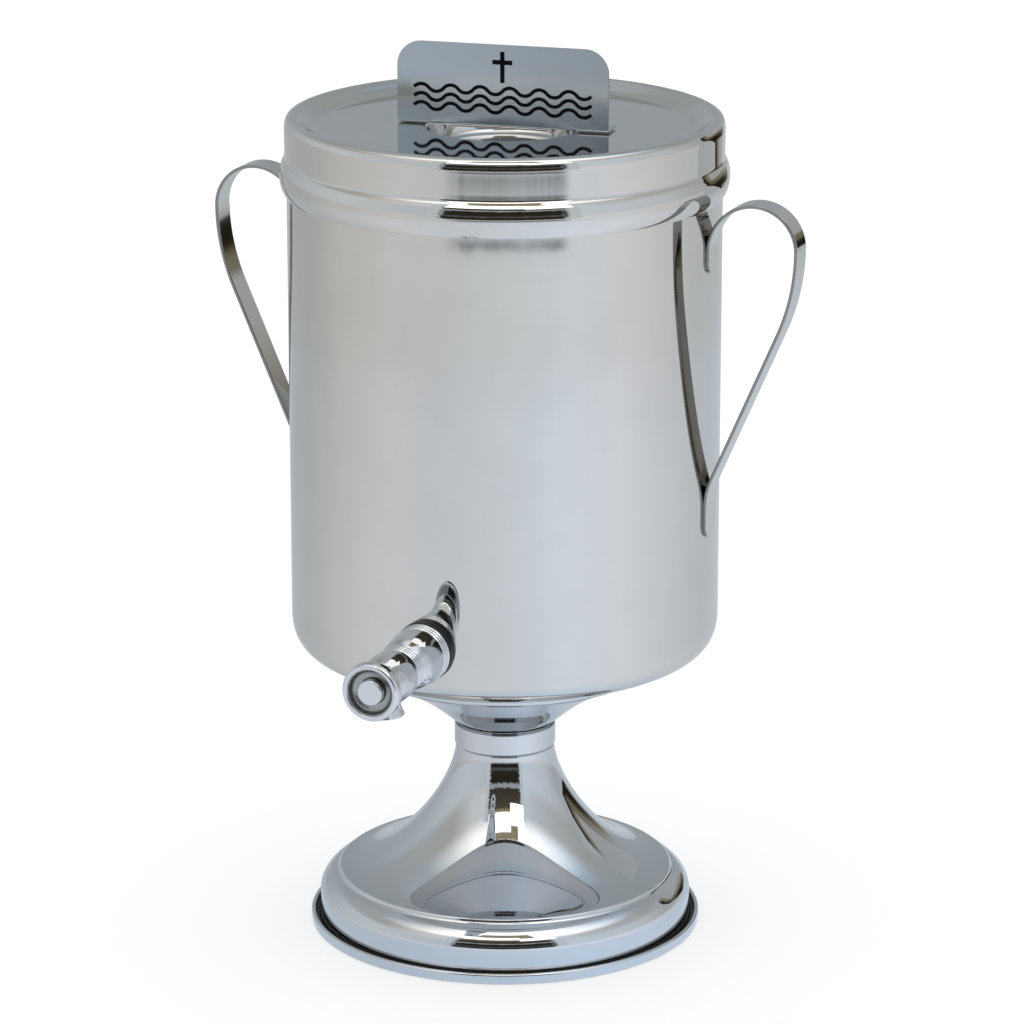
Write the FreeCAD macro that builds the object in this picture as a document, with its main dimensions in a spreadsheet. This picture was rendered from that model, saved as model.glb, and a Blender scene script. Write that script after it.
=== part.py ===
import FreeCAD, Part
import math
import os

import Sketcher
from FreeCAD import Placement, Rotation, Vector

# Holy water urn: a polished steel tank on a waisted pedestal, with a slip-over
# lid that carries a sign plate, two strap handles and a push-button faucet.
# Millimetres, +Z up, origin on the standing surface under the tank's axis.
# The faucet points along -Y and the handles stand out along +X and -X.

doc = FreeCAD.newDocument("holy_water_urn")

# ---------------------------------------------------------------- dimensions
DIMS = [
    # tank
    ("tank_radius", 114.2),
    ("tank_wall", 0.8),
    ("tank_top_z", 440.6),
    ("tank_floor_z", 150.2),
    # lid
    ("lid_radius", 115.3),
    ("lid_sheet", 0.7),
    ("lid_bead_radius", 117.9),
    ("lid_lip_z", 404.0),
    ("lid_bead_z", 413.4),
    ("lid_crest_z", 444.6),
    ("lid_panel_z", 439.0),
    ("dish_floor_z", 427.0),
    ("lid_turn", 4.9),
    # strap and sign on the lid
    ("strap_width", 19.0),
    ("strap_thick", 1.2),
    ("strap_half_span", 27.6),
    ("strap_top_z", 439.7),
    ("sign_width", 114.0),
    ("sign_top_z", 482.8),
    ("sign_sheet", 1.0),
    ("sign_corner", 13.0),
    ("sign_front_y", 9.6),
    ("sign_foot_depth", 14.6),
    ("sign_shift_x", 1.5),
    ("engrave_depth", 0.3),
    ("rivet_pitch", 37.6),
    ("rivet_radius", 1.6),
    # handles
    ("handle_width", 15.5),
    ("handle_thick", 1.8),
    ("handle_inset", 0.27),
    ("handle_foot_z", 227.0),
    ("handle_tab_z", 369.0),
    ("handle_reach", 162.3),
    # pedestal
    ("base_foot_radius", 105.6),
    ("base_band_radius", 100.5),
    ("base_edge_radius", 88.9),
    ("base_edge_z", 30.72),
    ("base_neck_radius", 26.6),
    ("base_top_z", 99.6),
    ("base_sheet", 1.2),
    ("foot_height", 4.4),
    ("collar_radius", 27.2),
    ("collar_top_z", 111.4),
    ("funnel_neck_radius", 26.6),
    ("funnel_floor", 2.0),
    ("stud_radius", 5.0),
    ("stud_hole_radius", 5.2),
    ("stud_low_z", 82.0),
    ("stud_plate_thick", 3.0),
    ("stud_plate_radius", 42.0),
    ("base_nut_flats", 17.0),
    # faucet, measured along its own axis from the tank's axis
    ("faucet_axis_z", 185.4),
    ("wall_hole_radius", 8.9),
    ("shank_radius", 8.5),
    ("shank_start", 98.0),
    ("gasket_radius", 15.8),
    ("gasket_face", 118.6),
    ("flange_radius", 15.6),
    ("flange_face", 126.1),
    ("cup_radius", 15.0),
    ("waist_radius", 11.9),
    ("barrel_radius", 13.5),
    ("neck_radius", 11.9),
    ("body_front", 184.0),
    ("seat_face", 126.0),
    ("seat_back", 130.0),
    ("seat_radius", 3.6),
    ("inlet_radius", 5.5),
    ("chamber_radius", 6.0),
    ("chamber_end", 177.5),
    ("gland_radius", 9.2),
    ("gland_face", 181.5),
    ("spout_place", 172.0),
    ("spout_drop", 16.4),
    ("spout_radius", 11.0),
    ("spout_bore_radius", 4.6),
    ("screw_radius", 1.7),
    ("bezel_radius", 15.3),
    ("bezel_front", 189.7),
    ("bezel_back", 183.2),
    ("bezel_bore_radius", 12.3),
    ("button_radius", 6.7),
    ("button_back", 186.0),
    ("dish_hole_radius", 7.1),
    ("stem_radius", 2.0),
    ("stem_thread_radius", 1.5),
    ("stem_bore_radius", 2.05),
    ("oring_wire", 0.92),
    ("oring_mean", 2.98),
    ("disc_radius", 4.7),
    ("disc_back", 121.4),
    ("washer_back", 123.4),
    ("washer_face", 125.7),
    ("collar_back", 150.0),
    ("spring_mean", 4.6),
    ("spring_wire", 0.45),
    ("lock_nut_flats", 24.0),
    ("retainer_flats", 5.5),
]
sheet = doc.addObject("Spreadsheet::Sheet", "Dims")
for row, (alias, number) in enumerate(DIMS, 1):
    sheet.set("A%d" % row, alias)
    sheet.set("B%d" % row, str(number))
    sheet.setAlias("B%d" % row, alias)
doc.recompute()
VALUES = dict(DIMS)


class Q:
    """A size with the sheet expression that it comes from."""

    def __init__(self, value, text):
        self.value = value
        self.text = text

    def __add__(self, other):
        other = q(other)
        return Q(self.value + other.value, "(%s + %s)" % (self.text, other.text))

    def __sub__(self, other):
        other = q(other)
        return Q(self.value - other.value, "(%s - %s)" % (self.text, other.text))

    def __mul__(self, other):
        other = q(other)
        return Q(self.value * other.value, "(%s * %s)" % (self.text, other.text))

    def __neg__(self):
        return Q(-self.value, "(-1 * %s)" % self.text)

    @property
    def bound(self):
        return "Dims." in self.text


def q(number):
    return number if isinstance(number, Q) else Q(float(number), "%.5f" % number)


def d(alias):
    return Q(VALUES[alias], "Dims." + alias)


def bind(obj, prop, size):
    """Set a property to a size and tie it to the sheet."""
    size = q(size)
    if size.bound:
        obj.setExpression(prop, size.text)


# ------------------------------------------------------------------- sketches
def plane_of(body, role):
    return [f for f in body.Origin.OriginFeatures if f.Role == role][0]


def new_sketch(body, name, role, offset=None):
    sk = body.newObject("Sketcher::SketchObject", name)
    sk.AttachmentSupport = [(plane_of(body, role), "")]
    sk.MapMode = "FlatFace"
    if offset is not None:
        sk.AttachmentOffset = Placement(offset, Rotation())
    return sk


def pin_point(sk, geo, pos, x, y):
    """Hold one sketch point at (x, y), tied to the sheet where x or y comes from it."""
    for size, kind, axis in ((q(x), "DistanceX", -2), (q(y), "DistanceY", -1)):
        if abs(size.value) < 1e-9:
            sk.addConstraint(Sketcher.Constraint("PointOnObject", geo, pos, axis))
            continue
        if size.value > 0:
            i = sk.addConstraint(Sketcher.Constraint(kind, -1, 1, geo, pos, size.value))
        else:
            size = -size
            i = sk.addConstraint(Sketcher.Constraint(kind, geo, pos, -1, 1, size.value))
        if size.bound:
            label = "%s_%d" % (kind.lower(), i)
            sk.renameConstraint(i, label)
            sk.setExpression("Constraints." + label, size.text)


def flat(point):
    return Vector(q(point[0]).value, q(point[1]).value, 0)


def end_of(sk, geo, point):
    """Which end of a sketch curve lies at the point."""
    p = flat(point)
    a, b = sk.getPoint(geo, 1), sk.getPoint(geo, 2)
    return 1 if a.distanceToPoint(p) <= b.distanceToPoint(p) else 2


def outline(sk, start, segs, closed=True):
    """Draw a chain of lines ("L", end), arcs ("A", through, end) and cubic
    curves ("B", handle, handle, end) and hold its corners."""
    here = start
    chain = []
    steps = list(segs)
    last = steps[-1][-1]
    if closed and flat(last).distanceToPoint(flat(start)) > 1e-6:
        steps.append(("L", start))
    for step in steps:
        there = step[-1]
        if step[0] == "L":
            geo = sk.addGeometry(Part.LineSegment(flat(here), flat(there)), False)
        elif step[0] == "A":
            geo = sk.addGeometry(
                Part.Arc(flat(here), flat(step[1]), flat(there)), False
            )
        else:
            curve = Part.BSplineCurve()
            curve.buildFromPolesMultsKnots(
                [flat(here), flat(step[1]), flat(step[2]), flat(there)],
                [4, 4],
                [0.0, 1.0],
                False,
                3,
            )
            geo = sk.addGeometry(curve, False)
        chain.append((geo, step[0], here, there))
        here = there
    count = len(chain)
    for i, (geo, kind, a, b) in enumerate(chain):
        if i + 1 < count or closed:
            nxt = chain[(i + 1) % count]
            sk.addConstraint(
                Sketcher.Constraint(
                    "Coincident",
                    geo,
                    end_of(sk, geo, b),
                    nxt[0],
                    end_of(sk, nxt[0], nxt[2]),
                )
            )
    for geo, kind, a, b in chain:
        pin_point(sk, geo, end_of(sk, geo, a), a[0], a[1])
        if kind == "A":
            sk.addConstraint(
                Sketcher.Constraint("Radius", geo, sk.Geometry[geo].Radius)
            )
    if not closed:
        geo, kind, a, b = chain[-1]
        pin_point(sk, geo, end_of(sk, geo, b), b[0], b[1])
    return chain


def ring_sketch(sk, x, y, radius):
    """One circle held at (x, y)."""
    x, y, radius = q(x), q(y), q(radius)
    geo = sk.addGeometry(
        Part.Circle(Vector(x.value, y.value, 0), Vector(0, 0, 1), radius.value), False
    )
    pin_point(sk, geo, 3, x, y)
    i = sk.addConstraint(Sketcher.Constraint("Radius", geo, radius.value))
    if radius.bound:
        sk.renameConstraint(i, "radius_%d" % i)
        sk.setExpression("Constraints.radius_%d" % i, radius.text)
    return geo


def hexagon(sk, flats):
    """A hexagon of the given width across flats, centred on the sketch origin."""
    reach = q(flats) * (1.0 / math.sqrt(3.0))
    turn = [(1.0, 0.0), (0.5, 0.866025), (-0.5, 0.866025)]
    turn += [(-1.0, 0.0), (-0.5, -0.866025), (0.5, -0.866025)]
    pts = [(reach * cx, reach * cy) for cx, cy in turn]
    outline(sk, pts[0], [("L", p) for p in pts[1:]])


# ------------------------------------------------------------------- features
def new_body(label):
    body = doc.addObject("PartDesign::Body", label)
    body.Label = label
    return body


def revolve(body, sk, name, axis="V_Axis"):
    rev = body.newObject("PartDesign::Revolution", name)
    rev.Profile = sk
    rev.ReferenceAxis = (sk, [axis])
    rev.Angle = 360
    doc.recompute()
    return rev


def groove(body, sk, name, axis="V_Axis"):
    """A turned cut; it has to take material away."""
    before = body.Shape.Volume
    cut = body.newObject("PartDesign::Groove", name)
    cut.Profile = sk
    cut.ReferenceAxis = (sk, [axis])
    cut.Angle = 360
    doc.recompute()
    if not body.Shape.Volume < before - 1e-3:
        raise RuntimeError(name + " cuts nothing")
    return cut


def pad(body, sk, name, length, both=False, back=False):
    feat = body.newObject("PartDesign::Pad", name)
    feat.Profile = sk
    feat.Length = q(length).value
    bind(feat, "Length", length)
    feat.Midplane = both
    feat.Reversed = back
    doc.recompute()
    return feat


def pocket(body, sk, name, length, back=False, both=False):
    """A straight cut; it has to take material away."""
    before = body.Shape.Volume
    feat = body.newObject("PartDesign::Pocket", name)
    feat.Profile = sk
    feat.Length = q(length).value
    bind(feat, "Length", length)
    feat.Midplane = both
    feat.Reversed = back
    doc.recompute()
    if not body.Shape.Volume < before - 1e-4:
        raise RuntimeError(name + " cuts nothing")
    return feat


def lathe(label, start, segs):
    """A turned piece: its half section, x as radius and y along the axis."""
    body = new_body(label)
    sk = new_sketch(body, label + "_section", "XZ_Plane")
    outline(sk, start, segs)
    revolve(body, sk, label + "_turned")
    return body


def to_faucet(body):
    """Lay a turned piece on the faucet's axis, pointing out along -Y."""
    body.Placement = Placement(
        Vector(0, 0, VALUES["faucet_axis_z"]), Rotation(Vector(1, 0, 0), 90)
    )
    body.setExpression("Placement.Base.z", "Dims.faucet_axis_z")
    return body


def on_lid(obj):
    """Turn a piece of the lid about the tank's axis."""
    obj.Placement = Placement(
        Vector(0, 0, 0), Rotation(Vector(0, 0, 1), VALUES["lid_turn"])
    )
    return obj


def soften(path, radii):
    """A chain of lines with a tangent arc at each inner corner."""
    segs = []
    for i in range(1, len(path) - 1):
        p, a, b = Vector(*path[i]), Vector(*path[i - 1]), Vector(*path[i + 1])
        u, v = (a - p).normalize(), (b - p).normalize()
        half = 0.5 * math.acos(max(-1.0, min(1.0, u.dot(v))))
        reach = radii[i - 1] / math.tan(half)
        mid = (u + v).normalize()
        centre = p + mid * (radii[i - 1] / math.sin(half))
        t1, t2 = p + u * reach, p + v * reach
        top = centre - mid * radii[i - 1]
        segs.append(("L", (t1.x, t1.y)))
        segs.append(("A", (top.x, top.y), (t2.x, t2.y)))
    segs.append(("L", (path[-1][0], path[-1][1])))
    return (path[0][0], path[0][1]), segs


nodes = []

# ----------------------------------------------------------------------- tank
R = d("tank_radius")
W = d("tank_wall")
FLOOR = d("tank_floor_z")
tank = lathe(
    "tank_body",
    (R, d("tank_top_z")),
    [
        ("L", (R, 176.0)),
        ("B", (114.2, 157.0), (102.6, 154.3), (86.9, 151.3)),
        ("L", (76.0, FLOOR)),
        ("L", (0, FLOOR)),
        ("L", (0, FLOOR + W)),
        ("L", (75.8, FLOOR + W)),
        ("L", (86.6, 152.1)),
        ("B", (102.2, 155.1), (113.4, 157.6), (R - W, 176.0)),
        ("L", (R - W, d("tank_top_z"))),
    ],
)
sk = new_sketch(tank, "tank_faucet_hole", "XZ_Plane")
ring_sketch(sk, 0, d("faucet_axis_z"), d("wall_hole_radius"))
pocket(tank, sk, "tank_faucet_cut", 130.0, back=True)
nodes.append(tank)

# -------------------------------------------------------------------- handles
# The strap runs up the wall as a tab, bends out over the top, comes down and
# in along a straight run, and ends in a second tab.
tab = VALUES["tank_radius"] + 0.5 * VALUES["handle_thick"] - VALUES["handle_inset"]
reach = VALUES["handle_reach"]
r_out, r_top, r_side, r_in = 26.0, 22.8, 110.0, 40.0
lean = math.radians(23.5)
# bend angle at which the outward bend meets the top bend, for the wanted reach
c1 = (reach - tab - r_out - r_top) / (r_top - r_out)
b1 = math.acos(c1)
peak = 407.5
bend_z = peak - r_out * math.sin(b1) - r_top * (1 - math.sin(b1))
joint = (tab + r_out * (1 - c1), bend_z + r_out * math.sin(b1))
side = (reach, joint[1] - r_top * math.sin(b1))
drop = ((r_side + r_in) * (1 - math.cos(lean)), (r_side + r_in) * math.sin(lean))
run = (reach - tab - drop[0]) / math.sin(lean)
p1 = (reach - r_side * (1 - math.cos(lean)), side[1] - r_side * math.sin(lean))
p2 = (p1[0] - run * math.sin(lean), p1[1] - run * math.cos(lean))
p3 = (tab, p2[1] - r_in * math.sin(lean))
h = 0.5 * lean
top_c = (reach - r_top, side[1])
b2 = 0.5 * (b1 + math.pi)
HANDLE_PATH = [
    ("L", p3),
    (
        "A",
        (tab + r_in * (1 - math.cos(h)), p3[1] + r_in * math.sin(h)),
        p2,
    ),
    ("L", p1),
    ("A", (reach - r_side * (1 - math.cos(h)), side[1] - r_side * math.sin(h)), side),
    (
        "A",
        (top_c[0] - r_top * math.cos(b2), top_c[1] + r_top * math.sin(b2)),
        joint,
    ),
    (
        "A",
        (
            tab + r_out * (1 - math.cos(0.5 * b1)),
            bend_z + r_out * math.sin(0.5 * b1),
        ),
        (tab, bend_z),
    ),
    ("L", (tab, d("handle_tab_z"))),
]


def strap_handle(label, turn):
    body = new_body(label)
    path = new_sketch(body, label + "_path", "XZ_Plane")
    outline(path, (tab, d("handle_foot_z")), HANDLE_PATH, closed=False)
    section = new_sketch(
        body, label + "_section", "XY_Plane", Vector(0, 0, VALUES["handle_foot_z"])
    )
    section.setExpression("AttachmentOffset.Base.z", "Dims.handle_foot_z")
    half_w, half_t = d("handle_width") * 0.5, d("handle_thick") * 0.5
    outline(
        section,
        (q(tab) - half_t, -half_w),
        [
            ("L", (q(tab) + half_t, -half_w)),
            ("L", (q(tab) + half_t, half_w)),
            ("L", (q(tab) - half_t, half_w)),
        ],
    )
    doc.recompute()
    pipe = body.newObject("PartDesign::AdditivePipe", label + "_strap")
    pipe.Profile = section
    pipe.Spine = (path, ["Edge%d" % (i + 1) for i in range(len(HANDLE_PATH))])
    doc.recompute()
    # round both tab ends
    ends = []
    for i, e in enumerate(pipe.Shape.Edges, 1):
        if abs(e.Length - VALUES["handle_thick"]) < 0.01:
            z = e.CenterOfMass.z
            if (
                abs(z - VALUES["handle_foot_z"]) < 0.01
                or abs(z - VALUES["handle_tab_z"]) < 0.01
            ):
                ends.append("Edge%d" % i)
    rounds = body.newObject("PartDesign::Fillet", label + "_tab_ends")
    rounds.Base = (pipe, ends)
    rounds.Radius = 7.6
    doc.recompute()
    # seat the tabs on the round wall
    seat = new_sketch(body, label + "_wall", "XZ_Plane")
    outline(
        seat,
        (0, 200.0),
        [("L", (R, 200.0)), ("L", (R, 430.0)), ("L", (0, 430.0))],
    )
    groove(body, seat, label + "_seat")
    body.Placement = Placement(Vector(0, 0, 0), Rotation(Vector(0, 0, 1), turn))
    return body


nodes.append(strap_handle("right_handle", 0))
nodes.append(strap_handle("left_handle", 180))

# ------------------------------------------------------------------- pedestal
SH = d("stud_hole_radius")
CT = d("collar_top_z")
BT = d("base_top_z")
BS = d("base_sheet")

plate_top = FLOOR
nodes.append(
    lathe(
        "stud_plate",
        (0, FLOOR - d("stud_plate_thick")),
        [
            ("L", (d("stud_plate_radius") - 0.8, FLOOR - d("stud_plate_thick"))),
            ("L", (d("stud_plate_radius"), FLOOR - d("stud_plate_thick") + 0.8)),
            ("L", (d("stud_plate_radius"), FLOOR)),
            ("L", (0, FLOOR)),
        ],
    )
)
SR = d("stud_radius")
nodes.append(
    lathe(
        "tie_stud",
        (0, d("stud_low_z")),
        [
            ("L", (SR - 0.8, d("stud_low_z"))),
            ("L", (SR, d("stud_low_z") + 0.8)),
            ("L", (SR, FLOOR - d("stud_plate_thick"))),
            ("L", (0, FLOOR - d("stud_plate_thick"))),
        ],
    )
)
# trumpet cup under the tank, with a rolled rim
nodes.append(
    lathe(
        "pedestal_funnel",
        (SH, CT),
        [
            ("L", (24.9, CT)),
            ("L", (24.9, CT + 0.8)),
            ("L", (d("funnel_neck_radius"), CT + 0.8)),
            ("B", (45.0, 128.85), (49.5, 131.0), (74.9, 144.6)),
            ("A", (79.2, 147.3), (76.3, FLOOR)),
            ("L", (73.6, FLOOR)),
            ("L", (73.6, 145.6)),
            ("B", (48.6, 132.3), (44.2, 130.0), (25.4, CT + d("funnel_floor"))),
            ("L", (SH, CT + d("funnel_floor"))),
        ],
    )
)
CR = d("collar_radius")
nodes.append(
    lathe(
        "pedestal_collar",
        (21.5, BT),
        [
            ("L", (CR - 1.0, BT)),
            ("A", (26.9071, 99.8929), (CR, BT + 1.0)),
            ("L", (CR, CT - 0.5)),
            ("A", (27.05355, 111.25355), (CR - 0.5, CT)),
            ("L", (21.5, CT)),
        ],
    )
)
ER, EZ = d("base_edge_radius"), d("base_edge_z")
BR = d("base_band_radius")
NR = d("base_neck_radius")
FH = d("foot_height")
nodes.append(
    lathe(
        "pedestal_base",
        (SH, BT),
        [
            ("L", (NR - 1.2, BT)),
            ("A", (26.2485, 99.2485), (NR, BT - 1.2)),
            ("B", (28.1, 77.2), (55.9, 35.55), (ER, EZ)),
            ("A", (89.62, 30.42), (ER + 1.1, 29.75)),
            ("B", (90.2, 28.9), (90.8, 28.2), (92.0, 27.7)),
            ("B", (95.4, 26.3), (100.0, 22.8), (BR, 16.8)),
            ("L", (BR, 5.9)),
            ("L", (BR - 0.6, FH)),
            ("L", (BR - 0.6 - BS, FH)),
            ("L", (BR - BS, 5.9)),
            ("L", (BR - BS, 16.6)),
            ("B", (98.7, 21.9), (94.4, 25.1), (91.6, 26.3)),
            ("B", (90.2, 26.9), (88.9, 27.5), (88.7, 28.7)),
            ("L", (ER - 0.9, EZ - BS)),
            ("B", (55.2, 34.4), (26.9, 76.8), (NR - BS, BT - BS)),
            ("L", (SH, BT - BS)),
        ],
    )
)
FR = d("base_foot_radius")
nodes.append(
    lathe(
        "foot_ring",
        (84.0, 0),
        [
            ("L", (FR - 0.8, 0)),
            ("A", (105.365685, 0.234315), (FR, 0.8)),
            ("L", (FR, FH + 0.15)),
            ("A", (105.233883, 5.433883), (FR - 1.25, FH + 1.4)),
            ("A", (103.466117, 5.433883), (FR - 2.5, FH + 0.15)),
            ("L", (FR - 2.5, 1.2)),
            ("L", (99.0, 1.2)),
            ("L", (99.0, FH)),
            ("L", (84.0, FH)),
        ],
    )
)
# black ring in the groove between the bead and the base's band
nodes.append(
    lathe(
        "foot_seal",
        (99.0, 1.2),
        [
            ("L", (FR - 2.5, 1.2)),
            ("L", (FR - 2.5, 2.6)),
            ("L", (101.5, 2.6)),
            ("L", (100.7, FH)),
            ("L", (99.0, FH)),
        ],
    )
)
nodes.append(
    lathe(
        "clamp_plate",
        (SH, BT - BS - 3.0),
        [
            ("L", (21.4, BT - BS - 3.0)),
            ("L", (22.0, BT - BS - 2.4)),
            ("L", (22.0, BT - BS)),
            ("L", (SH, BT - BS)),
        ],
    )
)
nodes.append(
    lathe(
        "lock_washer",
        (SH, BT - BS - 4.8),
        [
            ("L", (10.5, BT - BS - 4.8)),
            ("L", (10.5, BT - BS - 3.0)),
            ("L", (SH, BT - BS - 3.0)),
        ],
    )
)
nut = new_body("base_nut")
sk = new_sketch(
    nut,
    "base_nut_hex",
    "XY_Plane",
    Vector(0, 0, VALUES["base_top_z"] - VALUES["base_sheet"] - 4.8),
)
sk.setExpression("AttachmentOffset.Base.z", "Dims.base_top_z - Dims.base_sheet - 4.8")
hexagon(sk, d("base_nut_flats"))
ring_sketch(sk, 0, 0, SR)
pad(nut, sk, "base_nut_block", 8.2, back=True)
nodes.append(nut)

# --------------------------------------------------------------------- faucet
GF = d("gasket_face")
HR = d("wall_hole_radius")


def wall_rect(body, name, low, high):
    """A band around the tank's axis, in a faucet piece's own frame."""
    sk = new_sketch(body, name, "XY_Plane")
    outline(
        sk,
        (low, -22.0),
        [("L", (high, -22.0)), ("L", (high, 22.0)), ("L", (low, 22.0))],
    )
    return sk


gasket = lathe(
    "faucet_gasket",
    (HR, 111.0),
    [
        ("L", (d("gasket_radius"), 111.0)),
        ("L", (d("gasket_radius"), GF - 0.5)),
        ("L", (d("gasket_radius") - 0.5, GF)),
        ("L", (HR, GF)),
    ],
)
groove(gasket, wall_rect(gasket, "gasket_wall", 0, R), "gasket_saddle")
nodes.append(to_faucet(gasket))

FF = d("flange_face")
LR = d("flange_radius")
nodes.append(
    to_faucet(
        lathe(
            "faucet_flange",
            (d("shank_radius"), GF),
            [
                ("L", (LR - 0.6, GF)),
                ("A", (LR, GF + 1.25), (LR - 0.6, GF + 2.5)),
                ("A", (LR, GF + 3.75), (LR - 0.6, GF + 5.0)),
                ("A", (LR, GF + 6.25), (LR - 0.6, FF)),
                ("L", (d("shank_radius"), FF)),
            ],
        )
    )
)

KR = d("shank_radius")
WR = d("waist_radius")
BA = d("barrel_radius")
BF = d("body_front")
CU = d("cup_radius")
valve = lathe(
    "faucet_body",
    (0, d("shank_start")),
    [
        ("L", (KR - 0.6, d("shank_start"))),
        ("L", (KR, d("shank_start") + 0.6)),
        ("L", (KR, FF)),
        ("L", (CU - 0.6, FF)),
        ("A", (14.82426, 126.27574), (CU, FF + 0.6)),
        ("B", (15.0, 134.6), (14.6, 142.6), (WR, 147.4)),
        ("A", (12.6, 148.55), (WR, 149.7)),
        ("A", (12.6, 150.85), (WR, 152.0)),
        ("A", (12.6, 153.15), (WR, 154.3)),
        ("B", (12.5, 154.6), (13.5, 157.2), (BA, 161.8)),
        ("B", (13.5, 167.4), (13.0, 173.4), (d("neck_radius"), 178.2)),
        ("L", (d("neck_radius"), BF)),
        ("L", (0, BF)),
    ],
)
# short flared spout, turned about a vertical axis through the barrel
SP = d("spout_drop")
sk = new_sketch(valve, "spout_section", "YZ_Plane", Vector(0, VALUES["spout_place"], 0))
sk.setExpression("AttachmentOffset.Base.y", "Dims.spout_place")
outline(
    sk,
    (-SP, 0),
    [
        ("L", (-SP, d("spout_radius") - 0.5)),
        ("L", (-SP + 0.5, d("spout_radius"))),
        ("B", (-14.4, 10.6), (-13.2, 9.2), (-10.4, 9.2)),
        ("L", (-4.0, 9.2)),
        ("L", (-4.0, 0)),
    ],
)
revolve(valve, sk, "spout_turned", "H_Axis")
# round head of a small screw on the side of the cup
screw = valve.newObject("PartDesign::AdditiveSphere", "body_screw")
screw.Radius = VALUES["screw_radius"]
bind(screw, "Radius", d("screw_radius"))
aim = math.radians(-26.0)
screw.Placement = Placement(
    Vector(13.2 * math.cos(aim), 13.2 * math.sin(aim), 143.2), Rotation()
)
doc.recompute()
# water way: inlet, seat throat, outlet chamber and gland counterbore
sk = new_sketch(valve, "water_way", "XZ_Plane")
outline(
    sk,
    (0, 96.0),
    [
        ("L", (d("inlet_radius"), 96.0)),
        ("L", (d("inlet_radius"), d("seat_face"))),
        ("L", (d("seat_radius"), d("seat_face"))),
        ("L", (d("seat_radius"), d("seat_back"))),
        ("L", (d("chamber_radius"), d("seat_back"))),
        ("L", (d("chamber_radius"), d("chamber_end"))),
        ("L", (d("gland_radius"), d("chamber_end"))),
        ("L", (d("gland_radius"), 186.0)),
        ("L", (0, 186.0)),
    ],
)
groove(valve, sk, "water_way_bored")
sk = new_sketch(valve, "spout_bore", "YZ_Plane", Vector(0, VALUES["spout_place"], 0))
sk.setExpression("AttachmentOffset.Base.y", "Dims.spout_place")
outline(
    sk,
    (-18.0, 0),
    [
        ("L", (-18.0, d("spout_bore_radius"))),
        ("L", (-1.0, d("spout_bore_radius"))),
        ("L", (-1.0, 0)),
    ],
)
groove(valve, sk, "spout_bored", "H_Axis")
nodes.append(to_faucet(valve))

inner = lathe(
    "inner_gasket",
    (HR, 111.6),
    [
        ("L", (12.3, 111.6)),
        ("L", (12.3, 116.0)),
        ("L", (HR, 116.0)),
    ],
)
groove(
    inner,
    wall_rect(inner, "inner_gasket_wall", R - W - 0.05, 140.0),
    "inner_gasket_saddle",
)
nodes.append(to_faucet(inner))
nodes.append(
    to_faucet(
        lathe(
            "inner_washer",
            (KR, 110.2),
            [
                ("L", (11.9, 110.2)),
                ("L", (12.3, 110.6)),
                ("L", (12.3, 111.6)),
                ("L", (KR, 111.6)),
            ],
        )
    )
)
lock = new_body("faucet_lock_nut")
sk = new_sketch(lock, "lock_nut_hex", "XY_Plane", Vector(0, 0, 104.0))
hexagon(sk, d("lock_nut_flats"))
ring_sketch(sk, 0, 0, KR)
pad(lock, sk, "lock_nut_block", 6.2)
nodes.append(to_faucet(lock))

ZR = d("bezel_radius")
ZB = d("bezel_bore_radius")
ZF = d("bezel_front")
ZK = d("bezel_back")
nodes.append(
    to_faucet(
        lathe(
            "faucet_bezel",
            (d("neck_radius"), ZK),
            [
                ("L", (ZR - 1.5, ZK)),
                ("A", (14.86066, 183.63934), (ZR, ZK + 1.5)),
                ("L", (ZR, 187.0)),
                ("B", (15.3, 188.6), (14.7, 189.7), (13.7, ZF)),
                ("L", (ZB + 0.6, ZF)),
                ("A", (12.47574, 189.52426), (ZB, ZF - 0.6)),
                ("L", (ZB, BF)),
                ("L", (d("neck_radius"), BF)),
            ],
        )
    )
)
nodes.append(
    to_faucet(
        lathe(
            "bezel_dish",
            (d("dish_hole_radius"), BF),
            [
                ("L", (ZB, BF)),
                ("L", (ZB, ZF - 0.9)),
                ("L", (ZB - 0.5, ZF - 0.9)),
                ("B", (11.6, 186.2), (10.6, 185.0), (8.6, BF + 0.8)),
                ("L", (d("dish_hole_radius"), BF + 0.8)),
            ],
        )
    )
)
CE = d("chamber_end")
GR = d("gland_radius")
nodes.append(
    to_faucet(
        lathe(
            "stem_gland",
            (3.9, CE),
            [
                ("L", (GR, CE)),
                ("L", (GR, d("gland_face"))),
                ("L", (d("stem_bore_radius"), d("gland_face"))),
                ("L", (d("stem_bore_radius"), CE + 1.9)),
                ("L", (3.9, CE + 1.9)),
            ],
        )
    )
)
oring = doc.addObject("Part::Torus", "stem_oring")
oring.Label = "stem_oring"
oring.Radius1 = VALUES["oring_mean"]
oring.Radius2 = VALUES["oring_wire"]
bind(oring, "Radius1", d("oring_mean"))
bind(oring, "Radius2", d("oring_wire"))
oring.Placement = Placement(
    Vector(0, -VALUES["chamber_end"] - 0.95, VALUES["faucet_axis_z"]),
    Rotation(Vector(1, 0, 0), 90),
)
nodes.append(oring)

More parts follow.
